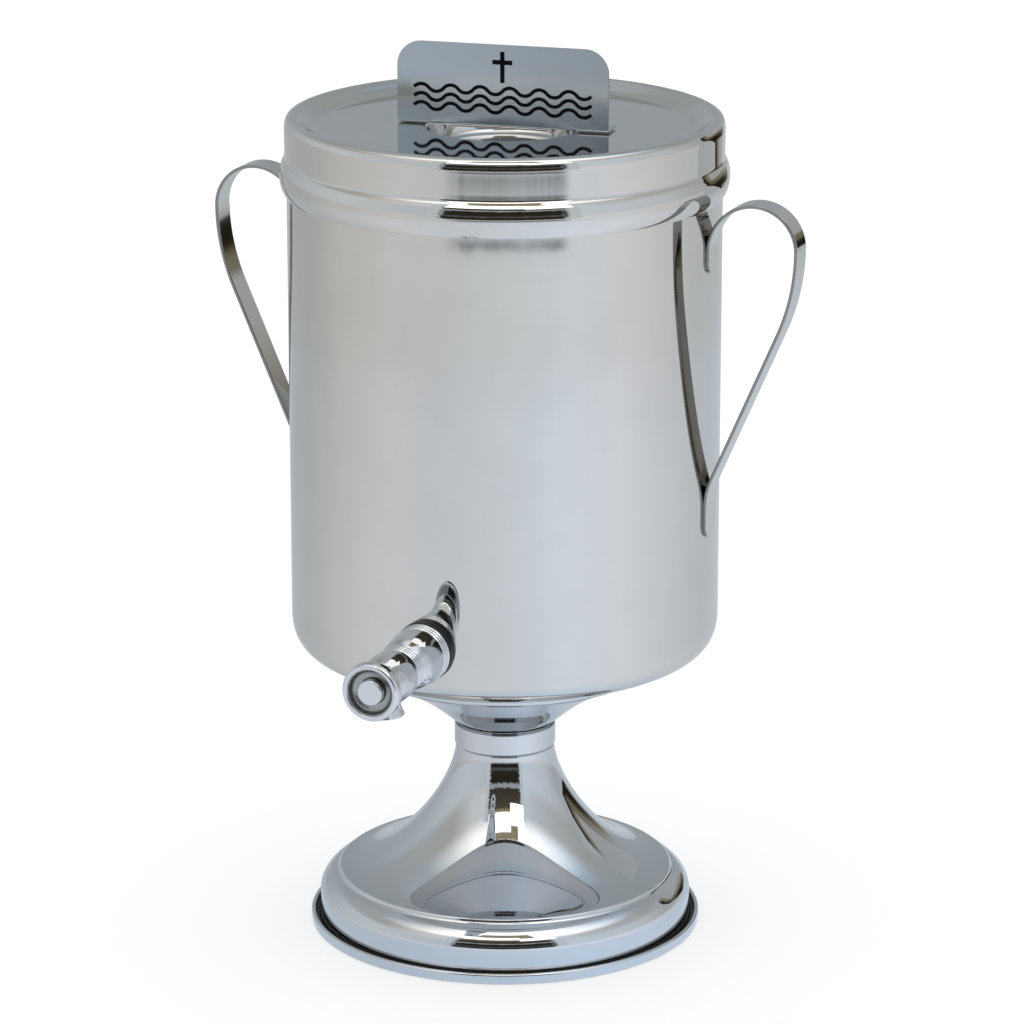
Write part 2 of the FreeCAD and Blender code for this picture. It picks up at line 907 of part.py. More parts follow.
# --------------------------------------------------------- button and its stem
PR = d("button_radius")
PB = d("button_back")
TR = d("stem_radius")
nodes.append(
    to_faucet(
        lathe(
            "push_button",
            (TR, PB),
            [
                ("L", (PR - 0.5, PB)),
                ("L", (PR, PB + 0.5)),
                ("L", (PR, ZF - 0.9)),
                ("A", (6.4364, 189.4364), (PR - 0.9, ZF)),
                ("L", (0, ZF)),
                ("L", (0, ZF - 1.3)),
                ("L", (TR, ZF - 1.3)),
            ],
        )
    )
)
DB = d("disc_back")
TT = d("stem_thread_radius")
nodes.append(
    to_faucet(
        lathe(
            "valve_stem",
            (0, DB - 3.4),
            [
                ("L", (TT - 0.3, DB - 3.4)),
                ("L", (TT, DB - 3.1)),
                ("L", (TT, DB)),
                ("L", (TR, DB)),
                ("L", (TR, ZF - 1.3)),
                ("L", (0, ZF - 1.3)),
            ],
        )
    )
)
nodes.append(
    to_faucet(
        lathe(
            "spring_collar",
            (TR, d("collar_back")),
            [
                ("L", (5.4, d("collar_back"))),
                ("L", (5.4, d("collar_back") + 1.2)),
                ("L", (TR, d("collar_back") + 1.2)),
            ],
        )
    )
)
VR = d("disc_radius")
nodes.append(
    to_faucet(
        lathe(
            "valve_disc",
            (TR, DB),
            [
                ("L", (VR - 0.4, DB)),
                ("L", (VR, DB + 0.4)),
                ("L", (VR, d("washer_back"))),
                ("L", (TR, d("washer_back"))),
            ],
        )
    )
)
nodes.append(
    to_faucet(
        lathe(
            "valve_washer",
            (TR, d("washer_back")),
            [
                ("L", (VR, d("washer_back"))),
                ("L", (VR, d("washer_face") - 0.4)),
                ("L", (VR - 0.4, d("washer_face"))),
                ("L", (TR, d("washer_face"))),
            ],
        )
    )
)
keep = new_body("stem_retainer")
sk = new_sketch(keep, "retainer_hex", "XY_Plane", Vector(0, 0, VALUES["disc_back"]))
sk.setExpression("AttachmentOffset.Base.z", "Dims.disc_back")
hexagon(sk, d("retainer_flats"))
ring_sketch(sk, 0, 0, TT)
pad(keep, sk, "retainer_block", 2.6, back=True)
nodes.append(to_faucet(keep))

spring = new_body("return_spring")
wire = VALUES["spring_wire"]
coil_low = VALUES["seat_back"] + wire
coil_high = VALUES["collar_back"] - wire
sk = new_sketch(spring, "spring_wire_section", "XZ_Plane")
ring_sketch(sk, d("spring_mean"), d("seat_back") + d("spring_wire"), d("spring_wire"))
doc.recompute()
coil = spring.newObject("PartDesign::AdditiveHelix", "spring_coils")
coil.Profile = sk
coil.ReferenceAxis = (sk, ["V_Axis"])
coil.Mode = 0
coil.Pitch = (coil_high - coil_low) / 6.0
coil.Height = coil_high - coil_low
coil.Angle = 0
coil.LeftHanded = False
coil.Reversed = False
doc.recompute()
nodes.append(to_faucet(spring))

# ------------------------------------------------------------------------ lid
LB = d("lid_radius")
LS = d("lid_sheet")
BD = d("lid_bead_radius")
LZ = d("lid_lip_z")
BZ = d("lid_bead_z")
PZ = d("lid_panel_z")
DZ = d("dish_floor_z")
CZ = d("lid_crest_z")
nodes.append(
    on_lid(
        lathe(
            "lid_shell",
            (LB - 0.35, LZ),
            [
                ("B", (116.8, 406.3), (117.9, 409.9), (BD, BZ)),
                ("B", (117.9, 417.2), (116.9, 420.4), (115.85, 421.9)),
                ("B", (115.5, 422.4), (115.08, 423.0), (LB - 0.2, 424.0)),
                ("L", (LB + 0.1, 437.0)),
                ("B", (115.45, 439.3), (115.2, 441.2), (114.5, 442.6)),
                ("B", (113.8, 444.0), (112.4, 444.6), (LB - 4.6, CZ)),
                ("A", (108.4, 443.98372), (106.71628, 442.3)),
                ("B", (105.9, 440.9), (105.0, 439.0), (103.0, PZ)),
                ("L", (43.2, PZ)),
                ("B", (41.6, 439.0), (40.6, 438.3), (40.2, 436.8)),
                ("L", (39.0, 431.0)),
                ("B", (38.5, 428.6), (37.6, 427.0), (35.4, DZ)),
                ("L", (0, DZ)),
                ("L", (0, DZ - LS)),
                ("L", (35.4, DZ - LS)),
                ("B", (38.0, 426.3), (39.1, 428.2), (39.7, 430.85)),
                ("L", (40.9, 436.65)),
                ("B", (41.2, 437.8), (41.9, 438.3), (43.2, PZ - LS)),
                ("L", (103.0, PZ - LS)),
                ("B", (105.4, 438.3), (106.5, 440.4), (107.3225, 441.95)),
                ("A", (108.75, 443.3775), (LB - 4.6, CZ - LS)),
                ("A", (113.45772, 442.75772), (LB - LS, CZ - 4.6)),
                ("L", (LB - LS, 423.2)),
                ("B", (114.6, 422.6), (114.9, 422.04), (115.28, 421.5)),
                ("B", (116.3, 420.04), (117.2, 416.9), (BD - LS, BZ)),
                ("B", (117.2, 410.1), (116.2, 406.9), (LB - LS, LZ + 0.55)),
            ],
        )
    )
)

# strap across the finger dish
strap = new_body("lid_strap_handle")
half_t = 0.5 * VALUES["strap_thick"]
low = VALUES["dish_floor_z"] + half_t
high = VALUES["strap_top_z"] - half_t
span = VALUES["strap_half_span"]
start, segs = soften(
    [
        (25.5, low, 0),
        (34.0, low, 0),
        (span, high, 0),
        (-span, high, 0),
        (-34.0, low, 0),
        (-25.5, low, 0),
    ],
    [1.4, 1.7, 1.7, 1.4],
)
path = new_sketch(strap, "strap_path", "XZ_Plane")
outline(path, start, segs, closed=False)
section = new_sketch(strap, "strap_section", "YZ_Plane", Vector(0, 0, 25.5))
half_w = d("strap_width") * 0.5
outline(
    section,
    (-half_w, DZ),
    [
        ("L", (half_w, DZ)),
        ("L", (half_w, DZ + d("strap_thick"))),
        ("L", (-half_w, DZ + d("strap_thick"))),
    ],
)
doc.recompute()
pipe = strap.newObject("PartDesign::AdditivePipe", "strap_bent")
pipe.Profile = section
pipe.Spine = (path, ["Edge%d" % (i + 1) for i in range(len(segs))])
doc.recompute()
RX = d("rivet_pitch") * 0.5
RV = d("rivet_radius")
SX = d("sign_shift_x")
sk = new_sketch(strap, "strap_rivet_holes", "XY_Plane", Vector(0, 0, 436.0))
ring_sketch(sk, RX + SX, -1.5, RV)
ring_sketch(sk, -RX + SX, -1.5, RV)
pocket(strap, sk, "strap_rivet_cut", 6.0, back=True)
nodes.append(on_lid(strap))

# sign plate: a bent sheet, its face upright and its foot lying back on the strap
FY = VALUES["sign_front_y"]
HWD = d("sign_width") * 0.5
SC = d("sign_corner")
ST = d("sign_top_z")
TH = d("sign_sheet")
KZ = d("strap_top_z")
sign = new_body("sign_plate")
sk = new_sketch(sign, "sign_face", "XZ_Plane", Vector(0, 0, FY))
sk.setExpression("AttachmentOffset.Base.z", "Dims.sign_front_y")
diag = VALUES["sign_corner"] * (1 - math.sqrt(0.5))
xl = VALUES["sign_shift_x"] - 0.5 * VALUES["sign_width"]
xr = VALUES["sign_shift_x"] + 0.5 * VALUES["sign_width"]
zt = VALUES["sign_top_z"]
outline(
    sk,
    (SX - HWD, KZ),
    [
        ("L", (SX + HWD, KZ)),
        ("L", (SX + HWD, ST - SC)),
        ("A", (xr - diag, zt - diag), (SX + HWD - SC, ST)),
        ("L", (SX - HWD + SC, ST)),
        ("A", (xl + diag, zt - diag), (SX - HWD, ST - SC)),
    ],
)
pad(sign, sk, "sign_face_sheet", TH, back=True)
sk = new_sketch(sign, "sign_foot", "XY_Plane", Vector(0, 0, VALUES["strap_top_z"]))
sk.setExpression("AttachmentOffset.Base.z", "Dims.strap_top_z")
FYQ = d("sign_front_y")
outline(
    sk,
    (SX - HWD, -FYQ),
    [
        ("L", (SX + HWD, -FYQ)),
        ("L", (SX + HWD, d("sign_foot_depth") - FYQ)),
        ("L", (SX - HWD, d("sign_foot_depth") - FYQ)),
    ],
)
foot = pad(sign, sk, "sign_foot_sheet", TH)
bend = []
for i, e in enumerate(foot.Shape.Edges, 1):
    c = e.CenterOfMass
    if abs(e.Length - VALUES["sign_width"]) < 0.01:
        if abs(c.y + FY) < 0.01 and abs(c.z - VALUES["strap_top_z"]) < 0.01:
            bend.append("Edge%d" % i)
rounds = sign.newObject("PartDesign::Fillet", "sign_bend")
rounds.Base = (foot, bend)
rounds.Radius = 0.95
doc.recompute()
sk = new_sketch(sign, "sign_rivet_holes", "XY_Plane", Vector(0, 0, 438.0))
ring_sketch(sk, RX + SX, -1.5, RV)
ring_sketch(sk, -RX + SX, -1.5, RV)
pocket(sign, sk, "sign_rivet_cut", 4.0, back=True)


def motif(sk):
    """A plain upright cross above three rows of waves."""
    x0 = VALUES["sign_shift_x"]
    bar, top, arm_z, low = 1.2, 479.3, 473.6, 462.8
    arm = 5.4
    outline(
        sk,
        (x0 - bar, low),
        [
            ("L", (x0 + bar, low)),
            ("L", (x0 + bar, arm_z - bar)),
            ("L", (x0 + arm, arm_z - bar)),
            ("L", (x0 + arm, arm_z + bar)),
            ("L", (x0 + bar, arm_z + bar)),
            ("L", (x0 + bar, top)),
            ("L", (x0 - bar, top)),
            ("L", (x0 - bar, arm_z + bar)),
            ("L", (x0 - arm, arm_z + bar)),
            ("L", (x0 - arm, arm_z - bar)),
            ("L", (x0 - bar, arm_z - bar)),
        ],
    )
    half = 0.95
    big = 5.2
    open_a = math.radians(50.0)
    step = 2 * big * math.sin(open_a)
    rise = big * math.cos(open_a)
    for z0, count in ((458.4, 12), (453.6, 12), (448.8, 12)):
        left = x0 - 0.5 * count * step
        up, down = [], []
        for i in range(count):
            sign_up = 1 if i % 2 == 0 else -1
            cx = left + (i + 0.5) * step
            cz = z0 - sign_up * rise
            for path, off in ((up, half), (down, -half)):
                r = big + sign_up * off
                a0 = (
                    cx - r * math.sin(open_a),
                    cz + sign_up * r * math.cos(open_a),
                )
                a1 = (
                    cx + r * math.sin(open_a),
                    cz + sign_up * r * math.cos(open_a),
                )
                path.append((a0, (cx, cz + sign_up * r), a1))
        segs = [("A", m, b) for a, m, b in up]
        segs.append(("L", down[-1][2]))
        segs += [("A", m, a) for a, m, b in reversed(down)]
        outline(sk, up[0][0], segs)


sk = new_sketch(sign, "sign_motif", "XZ_Plane", Vector(0, 0, FY))
sk.setExpression("AttachmentOffset.Base.z", "Dims.sign_front_y")
motif(sk)
pocket(sign, sk, "sign_engraving", d("engrave_depth"))
nodes.append(on_lid(sign))

# dark enamel that fills the engraving
turn = Rotation(Vector(0, 0, 1), VALUES["lid_turn"])
ink = doc.addObject("Sketcher::SketchObject", "sign_inlay_outline")
ink.Placement = Placement(
    turn.multVec(Vector(0, -FY, 0)), turn.multiply(Rotation(Vector(1, 0, 0), 90))
)
motif(ink)
doc.recompute()
fill = doc.addObject("Part::Extrusion", "sign_inlay")
fill.Label = "sign_inlay"
fill.Base = ink
fill.DirMode = "Normal"
fill.LengthFwd = VALUES["engrave_depth"]
bind(fill, "LengthFwd", d("engrave_depth"))
fill.Reversed = True
fill.Solid = True
doc.recompute()
nodes.append(fill)

# two rivets through the sign's foot and the strap
rivets = []
for sx in (-1, 1):
    spot = Vector(
        sx * 0.5 * VALUES["rivet_pitch"] + VALUES["sign_shift_x"], -1.5, 0
    )
    parts = []
    for name, kind, z, size in (
        ("shank", "Part::Cylinder", VALUES["strap_top_z"] - VALUES["strap_thick"], None),
        ("head", "Part::Cone", VALUES["strap_top_z"] + VALUES["sign_sheet"], None),
        ("tail", "Part::Cone", VALUES["strap_top_z"] - VALUES["strap_thick"] - 1.4, None),
    ):
        p = doc.addObject(kind, "rivet_%s_%s" % (name, "left" if sx < 0 else "right"))
        if name == "shank":
            p.Radius = VALUES["rivet_radius"]
            bind(p, "Radius", RV)
            p.Height = VALUES["strap_thick"] + VALUES["sign_sheet"]
            bind(p, "Height", d("strap_thick") + d("sign_sheet"))
        elif name == "head":
            p.Radius1, p.Radius2, p.Height = 3.0, 1.7, 1.4
        else:
            p.Radius1, p.Radius2, p.Height = 1.9, 2.7, 1.4
        p.Placement = Placement(turn.multVec(spot + Vector(0, 0, z)), turn)
        parts.append(p)
    one = doc.addObject("Part::MultiFuse", "rivet_" + ("left" if sx < 0 else "right"))
    one.Shapes = parts
    rivets.append(one)
group = doc.addObject("Part::Compound", "sign_rivets")
group.Label = "sign_rivets"
group.Links = rivets
doc.recompute()
nodes.append(group)

# ------------------------------------------------------------ check and export
doc.recompute()
for obj in doc.Objects:
    bad = [s for s in obj.State if s in ("Invalid", "Error")]
    if bad:
        raise RuntimeError("%s is %s" % (obj.Name, bad))
for obj in nodes:
    shape = obj.Shape
    if shape.isNull() or not shape.isValid() or not shape.Solids:
        raise RuntimeError("%s has no valid solid" % obj.Label)

os.makedirs("parts", exist_ok=True)
for obj in nodes:
    shape = obj.Shape
    shape.exportStep("parts/%s.step" % obj.Label)
    box = shape.BoundBox
    print(
        "%-18s solids %d  volume %10.1f  x %7.2f %7.2f  y %8.2f %8.2f  z %7.2f %7.2f"
        % (
            obj.Label,
            len(shape.Solids),
            shape.Volume,
            box.XMin,
            box.XMax,
            box.YMin,
            box.YMax,
            box.ZMin,
            box.ZMax,
        )
    )
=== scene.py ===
import math

import bmesh
import bpy
from mathutils import Matrix, Vector


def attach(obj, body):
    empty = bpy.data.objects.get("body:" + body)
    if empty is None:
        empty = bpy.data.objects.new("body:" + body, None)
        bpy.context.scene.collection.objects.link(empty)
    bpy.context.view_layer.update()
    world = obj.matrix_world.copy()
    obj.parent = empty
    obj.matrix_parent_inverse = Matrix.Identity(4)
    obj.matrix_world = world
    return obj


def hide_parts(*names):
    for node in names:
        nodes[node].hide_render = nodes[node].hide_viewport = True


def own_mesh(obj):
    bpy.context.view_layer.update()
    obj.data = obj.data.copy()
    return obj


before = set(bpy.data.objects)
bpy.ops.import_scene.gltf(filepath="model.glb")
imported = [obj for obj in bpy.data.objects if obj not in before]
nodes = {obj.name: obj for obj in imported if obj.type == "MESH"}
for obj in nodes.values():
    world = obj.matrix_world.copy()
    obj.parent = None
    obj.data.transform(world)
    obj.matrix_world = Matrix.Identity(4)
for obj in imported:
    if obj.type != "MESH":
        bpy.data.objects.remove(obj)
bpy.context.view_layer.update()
MM = 0.001

# ------------------------------------------------------------------ geometry
LID_TURN = math.radians(4.9)
FAUCET_Z = 185.4


def chain(start, steps, fine=1.0):
    """Points along lines ("L", end), arcs ("A", through, end) and cubic curves
    ("B", handle, handle, end), or ("C", steps, handle, handle, end)."""
    pts = [start]
    here = start
    for step in steps:
        there = step[-1]
        if step[0] == "L":
            pts.append(there)
        elif step[0] in "BC":
            c1, c2, end = step[-3:]
            n = step[1] if step[0] == "C" else max(6, int(28 * fine))
            for i in range(1, n + 1):
                t = i / n
                s = 1 - t
                pts.append(
                    tuple(
                        s * s * s * here[k]
                        + 3 * s * s * t * c1[k]
                        + 3 * s * t * t * c2[k]
                        + t * t * t * end[k]
                        for k in (0, 1)
                    )
                )
        else:
            _, mid, end = step
            ax, ay = here
            bx, by = mid
            cx, cy = end
            det = 2 * (ax * (by - cy) + bx * (cy - ay) + cx * (ay - by))
            ux = (
                (ax * ax + ay * ay) * (by - cy)
                + (bx * bx + by * by) * (cy - ay)
                + (cx * cx + cy * cy) * (ay - by)
            ) / det
            uy = (
                (ax * ax + ay * ay) * (cx - bx)
                + (bx * bx + by * by) * (ax - cx)
                + (cx * cx + cy * cy) * (bx - ax)
            ) / det
            r = math.hypot(ax - ux, ay - uy)
            a0 = math.atan2(ay - uy, ax - ux)
            am = math.atan2(by - uy, bx - ux)
            a1 = math.atan2(cy - uy, cx - ux)
            turn = (a1 - a0) % (2 * math.pi)
            if not 0 <= (am - a0) % (2 * math.pi) <= turn:
                turn -= 2 * math.pi
            n = max(4, int(abs(turn) / math.radians(7) * fine))
            for i in range(1, n + 1):
                a = a0 + turn * i / n
                pts.append((ux + r * math.cos(a), uy + r * math.sin(a)))
        here = there
    return pts


def soft_corners(pts, radius, closed=True, limit=25.0):
    """Round each corner of a section that turns by more than limit degrees."""
    out = []
    n = len(pts)
    for i, p in enumerate(pts):
        if not closed and i in (0, n - 1):
            out.append(p)
            continue
        a, b = pts[i - 1], pts[(i + 1) % n]
        u = Vector((a[0] - p[0], a[1] - p[1]))
        v = Vector((b[0] - p[0], b[1] - p[1]))
        lu, lv = u.length, v.length
        if lu < 1e-6 or lv < 1e-6:
            continue
        u /= lu
        v /= lv
        turn = 180 - math.degrees(math.acos(max(-1, min(1, u.dot(v)))))
        if turn < limit or p[0] < 1e-6:
            out.append(p)
            continue
        half = math.radians(180 - turn) / 2
        r = radius
        reach = min(r / math.tan(half), 0.42 * lu, 0.42 * lv)
        r = reach * math.tan(half)
        mid = (u + v).normalized()
        c = Vector(p) + mid * (r / math.sin(half))
        t1, t2 = Vector(p) + u * reach, Vector(p) + v * reach
        a0 = math.atan2(t1.y - c.y, t1.x - c.x)
        a1 = math.atan2(t2.y - c.y, t2.x - c.x)
        d = (a1 - a0 + math.pi) % (2 * math.pi) - math.pi
        k = 4
        for j in range(k + 1):
            w = a0 + d * j / k
            out.append((c.x + r * math.cos(w), c.y + r * math.sin(w)))
    return out


def mesh_object(name, verts, faces, matrix=None, sharp=35.0):
    """A new smooth-shaded object, its vertices in millimetres."""
    me = bpy.data.meshes.new(name)
    me.from_pydata([tuple(c * MM for c in v) for v in verts], [], faces)
    if matrix is not None:
        me.transform(matrix)
    bm = bmesh.new()
    bm.from_mesh(me)
    bmesh.ops.remove_doubles(bm, verts=bm.verts, dist=1e-6)
    bmesh.ops.recalc_face_normals(bm, faces=bm.faces)
    for e in bm.edges:
        if len(e.link_faces) == 2:
            e.smooth = e.calc_face_angle(0.0) < math.radians(sharp)
    bm.to_mesh(me)
    bm.free()
    me.shade_smooth()
    for p in me.polygons:
        p.use_smooth = True
    obj = bpy.data.objects.new(name, me)
    bpy.context.scene.collection.objects.link(obj)
    return obj


def hold_flats(section, sharp):
    """Add a point close to each bend at the ends of long straight sides, so that
    smooth shading doesn't spread a bend over the whole side."""
    out = []
    n = len(section)
    for i in range(n):
        a, p, q, b = (Vector(section[k % n]) for k in (i - 1, i, i + 1, i + 2))
        out.append(section[i])
        side = q - p
        if side.length < 0.8 or (p.x < 1e-6 and q.x < 1e-6):
            continue
        before, after = p - a, b - q
        reach = min(0.2, 0.2 * side.length)
        step = side.normalized() * reach
        if before.length > 1e-9 and 1.0 < math.degrees(before.angle(side)) < sharp:
            out.append(tuple(p + step))
        if after.length > 1e-9 and 1.0 < math.degrees(side.angle(after)) < sharp:
            out.append(tuple(q - step))
    return out


def lathe(name, section, seg=256, matrix=None, sharp=35.0):
    """Turn a closed section of (radius, height) about the Z axis."""
    section = hold_flats(section, sharp)
    verts, faces = [], []
    rings = []
    for r, z in section:
        if r < 1e-6:
            rings.append([len(verts)] * seg)
            verts.append((0.0, 0.0, z))
        else:
            base = len(verts)
            for i in range(seg):
                a = 2 * math.pi * i / seg
                verts.append((r * math.cos(a), r * math.sin(a), z))
            rings.append([base + i for i in range(seg)])
    m = len(section)
    for k in range(m):
        lo, hi = rings[k], rings[(k + 1) % m]
        if lo[0] == lo[1] and hi[0] == hi[1]:
            continue
        for i in range(seg):
            j = (i + 1) % seg
            face = [lo[i], lo[j], hi[j], hi[i]]
            seen = []
            for v in face:
                if v not in seen:
                    seen.append(v)
            if len(seen) >= 3:
                faces.append(seen)
    return mesh_object(name, verts, faces, matrix, sharp)


TO_FAUCET = Matrix.Translation((0, 0, FAUCET_Z * MM)) @ Matrix.Rotation(
    math.radians(90), 4, "X"
)
TO_LID = Matrix.Rotation(LID_TURN, 4, "Z")


# ------------------------------------------------------------------ materials
class Nodes:
    """Small helper that wires shader nodes together."""

    def __init__(self, tree):
        self.tree = tree
        tree.nodes.clear()

    def add(self, kind, **props):
        node = self.tree.nodes.new(kind)
        for k, v in props.items():
            setattr(node, k, v)
        return node

    def put(self, socket, value):
        if isinstance(value, bpy.types.NodeSocket):
            self.tree.links.new(value, socket)
        else:
            socket.default_value = value

    def math(self, op, a, b=None, c=None, clamp=False):
        n = self.add("ShaderNodeMath", operation=op, use_clamp=clamp)
        self.put(n.inputs[0], a)
        if b is not None:
            self.put(n.inputs[1], b)
        if c is not None:
            self.put(n.inputs[2], c)
        return n.outputs[0]

    def step(self, x, low, high, out_low=0.0, out_high=1.0):
        n = self.add("ShaderNodeMapRange", interpolation_type="SMOOTHSTEP")
        self.put(n.inputs["Value"], x)
        self.put(n.inputs["From Min"], low)
        self.put(n.inputs["From Max"], high)
        self.put(n.inputs["To Min"], out_low)
        self.put(n.inputs["To Max"], out_high)
        return n.outputs["Result"]

    def mix(self, fac, a, b):
        n = self.add("ShaderNodeMix", data_type="RGBA")
        self.put(n.inputs["Factor"], fac)
        self.put(n.inputs["A"], a if not isinstance(a, tuple) else (*a, 1.0))
        self.put(n.inputs["B"], b if not isinstance(b, tuple) else (*b, 1.0))
        return n.outputs["Result"]

    def noise(self, vector, scale, detail=2.0, rough=0.5, distort=0.0):
        n = self.add("ShaderNodeTexNoise")
        self.put(n.inputs["Vector"], vector)
        n.inputs["Scale"].default_value = scale
        n.inputs["Detail"].default_value = detail
        n.inputs["Roughness"].default_value = rough
        n.inputs["Distortion"].default_value = distort
        return n.outputs["Fac"]


def new_material(name):
    mat = bpy.data.materials.new(name)
    mat.use_nodes = True
    nb = Nodes(mat.node_tree)
    out = nb.add("ShaderNodeOutputMaterial")
    bsdf = nb.add("ShaderNodeBsdfPrincipled")
    nb.tree.links.new(bsdf.outputs[0], out.inputs["Surface"])
    return mat, nb, bsdf


def steel(
    name,
    color=(0.60, 0.59, 0.575),
    rough=(0.03, 0.07),
    polish=0.0,
    grain=900.0,
    bump=0.0,
    stain=0.04,
    axis="Z",
    edge=None,
):
    """Polished sheet: faint polishing lines round the piece, soft smudges and
    small colour changes."""
    mat, nb, bsdf = new_material(name)
    co = nb.add("ShaderNodeTexCoord").outputs["Object"]
    sep = nb.add("ShaderNodeSeparateXYZ")
    nb.put(sep.inputs[0], co)
    x, y, z = sep.outputs
    along = {"X": x, "Y": y, "Z": z}[axis]
    across = {"X": (y, z), "Y": (x, z), "Z": (x, y)}[axis]
    angle = nb.math("ARCTAN2", across[0], across[1])
    rad = nb.math(
        "SQRT",
        nb.math(
            "ADD",
            nb.math("MULTIPLY", across[0], across[0]),
            nb.math("MULTIPLY", across[1], across[1]),
        ),
    )
    # polishing lines run round the axis
    vec = nb.add("ShaderNodeCombineXYZ")
    nb.put(vec.inputs[0], nb.math("MULTIPLY", angle, 0.012))
    nb.put(vec.inputs[1], rad)
    nb.put(vec.inputs[2], along)
    lines = nb.noise(vec.outputs[0], grain, 3.0, 0.65)
    smudge = nb.noise(co, 9.0, 4.0, 0.55, 0.4)
    wipe = nb.noise(co, 38.0, 3.0, 0.6, 0.2)
    mottled = nb.math("ADD", nb.math("MULTIPLY", smudge, 0.65), nb.math("MULTIPLY", wipe, 0.35))
    r = nb.step(mottled, 0.3, 0.72, rough[0], rough[1])
    r = nb.math("ADD", r, nb.math("MULTIPLY", nb.math("SUBTRACT", lines, 0.5), polish))
    nb.put(bsdf.inputs["Roughness"], nb.math("MAXIMUM", r, 0.015))
    dark = tuple(c * (1 - stain) for c in color)
    light = tuple(min(1.0, c * (1 + stain * 0.6)) for c in color)
    tone = nb.mix(nb.step(mottled, 0.3, 0.7), dark, light)
    if edge:
        # sheared edges of a strap are duller than its faces
        facing = nb.add("ShaderNodeSeparateXYZ")
        nb.put(facing.inputs[0], nb.add("ShaderNodeTexCoord").outputs["Normal"])
        cut = nb.step(nb.math("ABSOLUTE", facing.outputs[1]), 0.35, 0.75)
        tone = nb.mix(cut, tone, tuple(c * edge for c in color))
    nb.put(bsdf.inputs["Base Color"], tone)
    bsdf.inputs["Metallic"].default_value = 1.0
    if bump:
        b = nb.add("ShaderNodeBump")
        b.inputs["Strength"].default_value = 1.0
        b.inputs["Distance"].default_value = bump
        nb.put(b.inputs["Height"], lines)
        nb.put(bsdf.inputs["Normal"], b.outputs[0])
    return mat


def plain(
    name, color, rough, metallic=0.0, scale=120.0, vary=0.25, bump=0.00005, shine=0.5
):
    """A mottled finish for rubber, enamel and machined inner pieces."""
    mat, nb, bsdf = new_material(name)
    co = nb.add("ShaderNodeTexCoord").outputs["Object"]
    n1 = nb.noise(co, scale, 4.0, 0.6)
    n2 = nb.noise(co, scale * 9, 2.0, 0.5)
    both = nb.math("ADD", nb.math("MULTIPLY", n1, 0.6), nb.math("MULTIPLY", n2, 0.4))
    dark = tuple(c * (1 - vary) for c in color)
    light = tuple(min(1.0, c * (1 + vary)) for c in color)
    nb.put(bsdf.inputs["Base Color"], nb.mix(nb.step(both, 0.35, 0.65), dark, light))
    nb.put(bsdf.inputs["Roughness"], nb.step(both, 0.3, 0.7, rough * 0.85, rough * 1.15))
    bsdf.inputs["Metallic"].default_value = metallic
    bsdf.inputs["Specular IOR Level"].default_value = shine
    b = nb.add("ShaderNodeBump")
    b.inputs["Strength"].default_value = 1.0
    b.inputs["Distance"].default_value = bump
    nb.put(b.inputs["Height"], both)
    nb.put(bsdf.inputs["Normal"], b.outputs[0])
    return mat


M_TANK = steel("tank_steel", rough=(0.02, 0.045), polish=0.008)
M_LID = steel("lid_steel", rough=(0.03, 0.06), polish=0.01)
M_FOOT = steel("pedestal_steel", color=(0.585, 0.60, 0.62), rough=(0.02, 0.05), polish=0.01)
M_HANDLE = steel("handle_steel", rough=(0.04, 0.09), polish=0.01, edge=0.45)
M_SIGN = steel("sign_steel", color=(0.43, 0.48, 0.525), rough=(0.16, 0.24), polish=0.03)
M_FAUCET = steel("faucet_plate", color=(0.62, 0.64, 0.67), rough=(0.02, 0.05), axis="Y")
M_BUTTON = steel("button_plate", color=(0.62, 0.64, 0.67), rough=(0.10, 0.16), axis="Y")
# the dish's darker grey is partly a duller cast metal and partly painted shade of the recess it lies
# in
M_DISH = plain(
    "dish_grey", (0.36, 0.37, 0.37), 0.28, metallic=0.9, scale=60.0, vary=0.06, bump=0.000003
)
M_RUBBER = plain("black_rubber", (0.010, 0.010, 0.010), 0.42, scale=300.0, shine=0.3)
M_ENAMEL = plain(
    "black_enamel", (0.002, 0.002, 0.003), 0.5, scale=200.0, bump=0.00001, shine=0.08
)
M_INNER = steel("plain_steel", color=(0.50, 0.49, 0.48), rough=(0.18, 0.32), polish=0.05)
M_BRASS = plain("gland_brass", (0.30, 0.23, 0.11), 0.45, metallic=1.0)


def finish(obj, mat):
    obj.data.materials.clear()
    obj.data.materials.append(mat)
    return obj


def stand_for(obj, mat, slot, body, *names):
    finish(obj, mat)
    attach(obj, body)
    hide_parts(*names)
    return obj


for name, obj in nodes.items():
    mat = M_INNER
    if name in ("tank_body",):
        mat = M_TANK
    elif name in ("lid_shell", "lid_strap_handle", "sign_rivets"):
        mat = M_LID
    elif name.startswith("pedestal") or name == "foot_ring":
        mat = M_FOOT
    elif name.endswith("_handle"):
        mat = M_HANDLE
    elif name == "sign_plate":
        mat = M_SIGN
    elif name == "sign_inlay":
        mat = M_ENAMEL
    elif name in ("faucet_flange", "faucet_body", "faucet_bezel"):
        mat = M_FAUCET
    elif name == "push_button":
        mat = M_BUTTON
    elif name == "bezel_dish":
        mat = M_DISH
    elif name in ("foot_seal", "faucet_gasket", "inner_gasket", "stem_oring", "valve_washer"):
        mat = M_RUBBER
    elif name == "stem_gland":
        mat = M_BRASS
    finish(obj, mat)

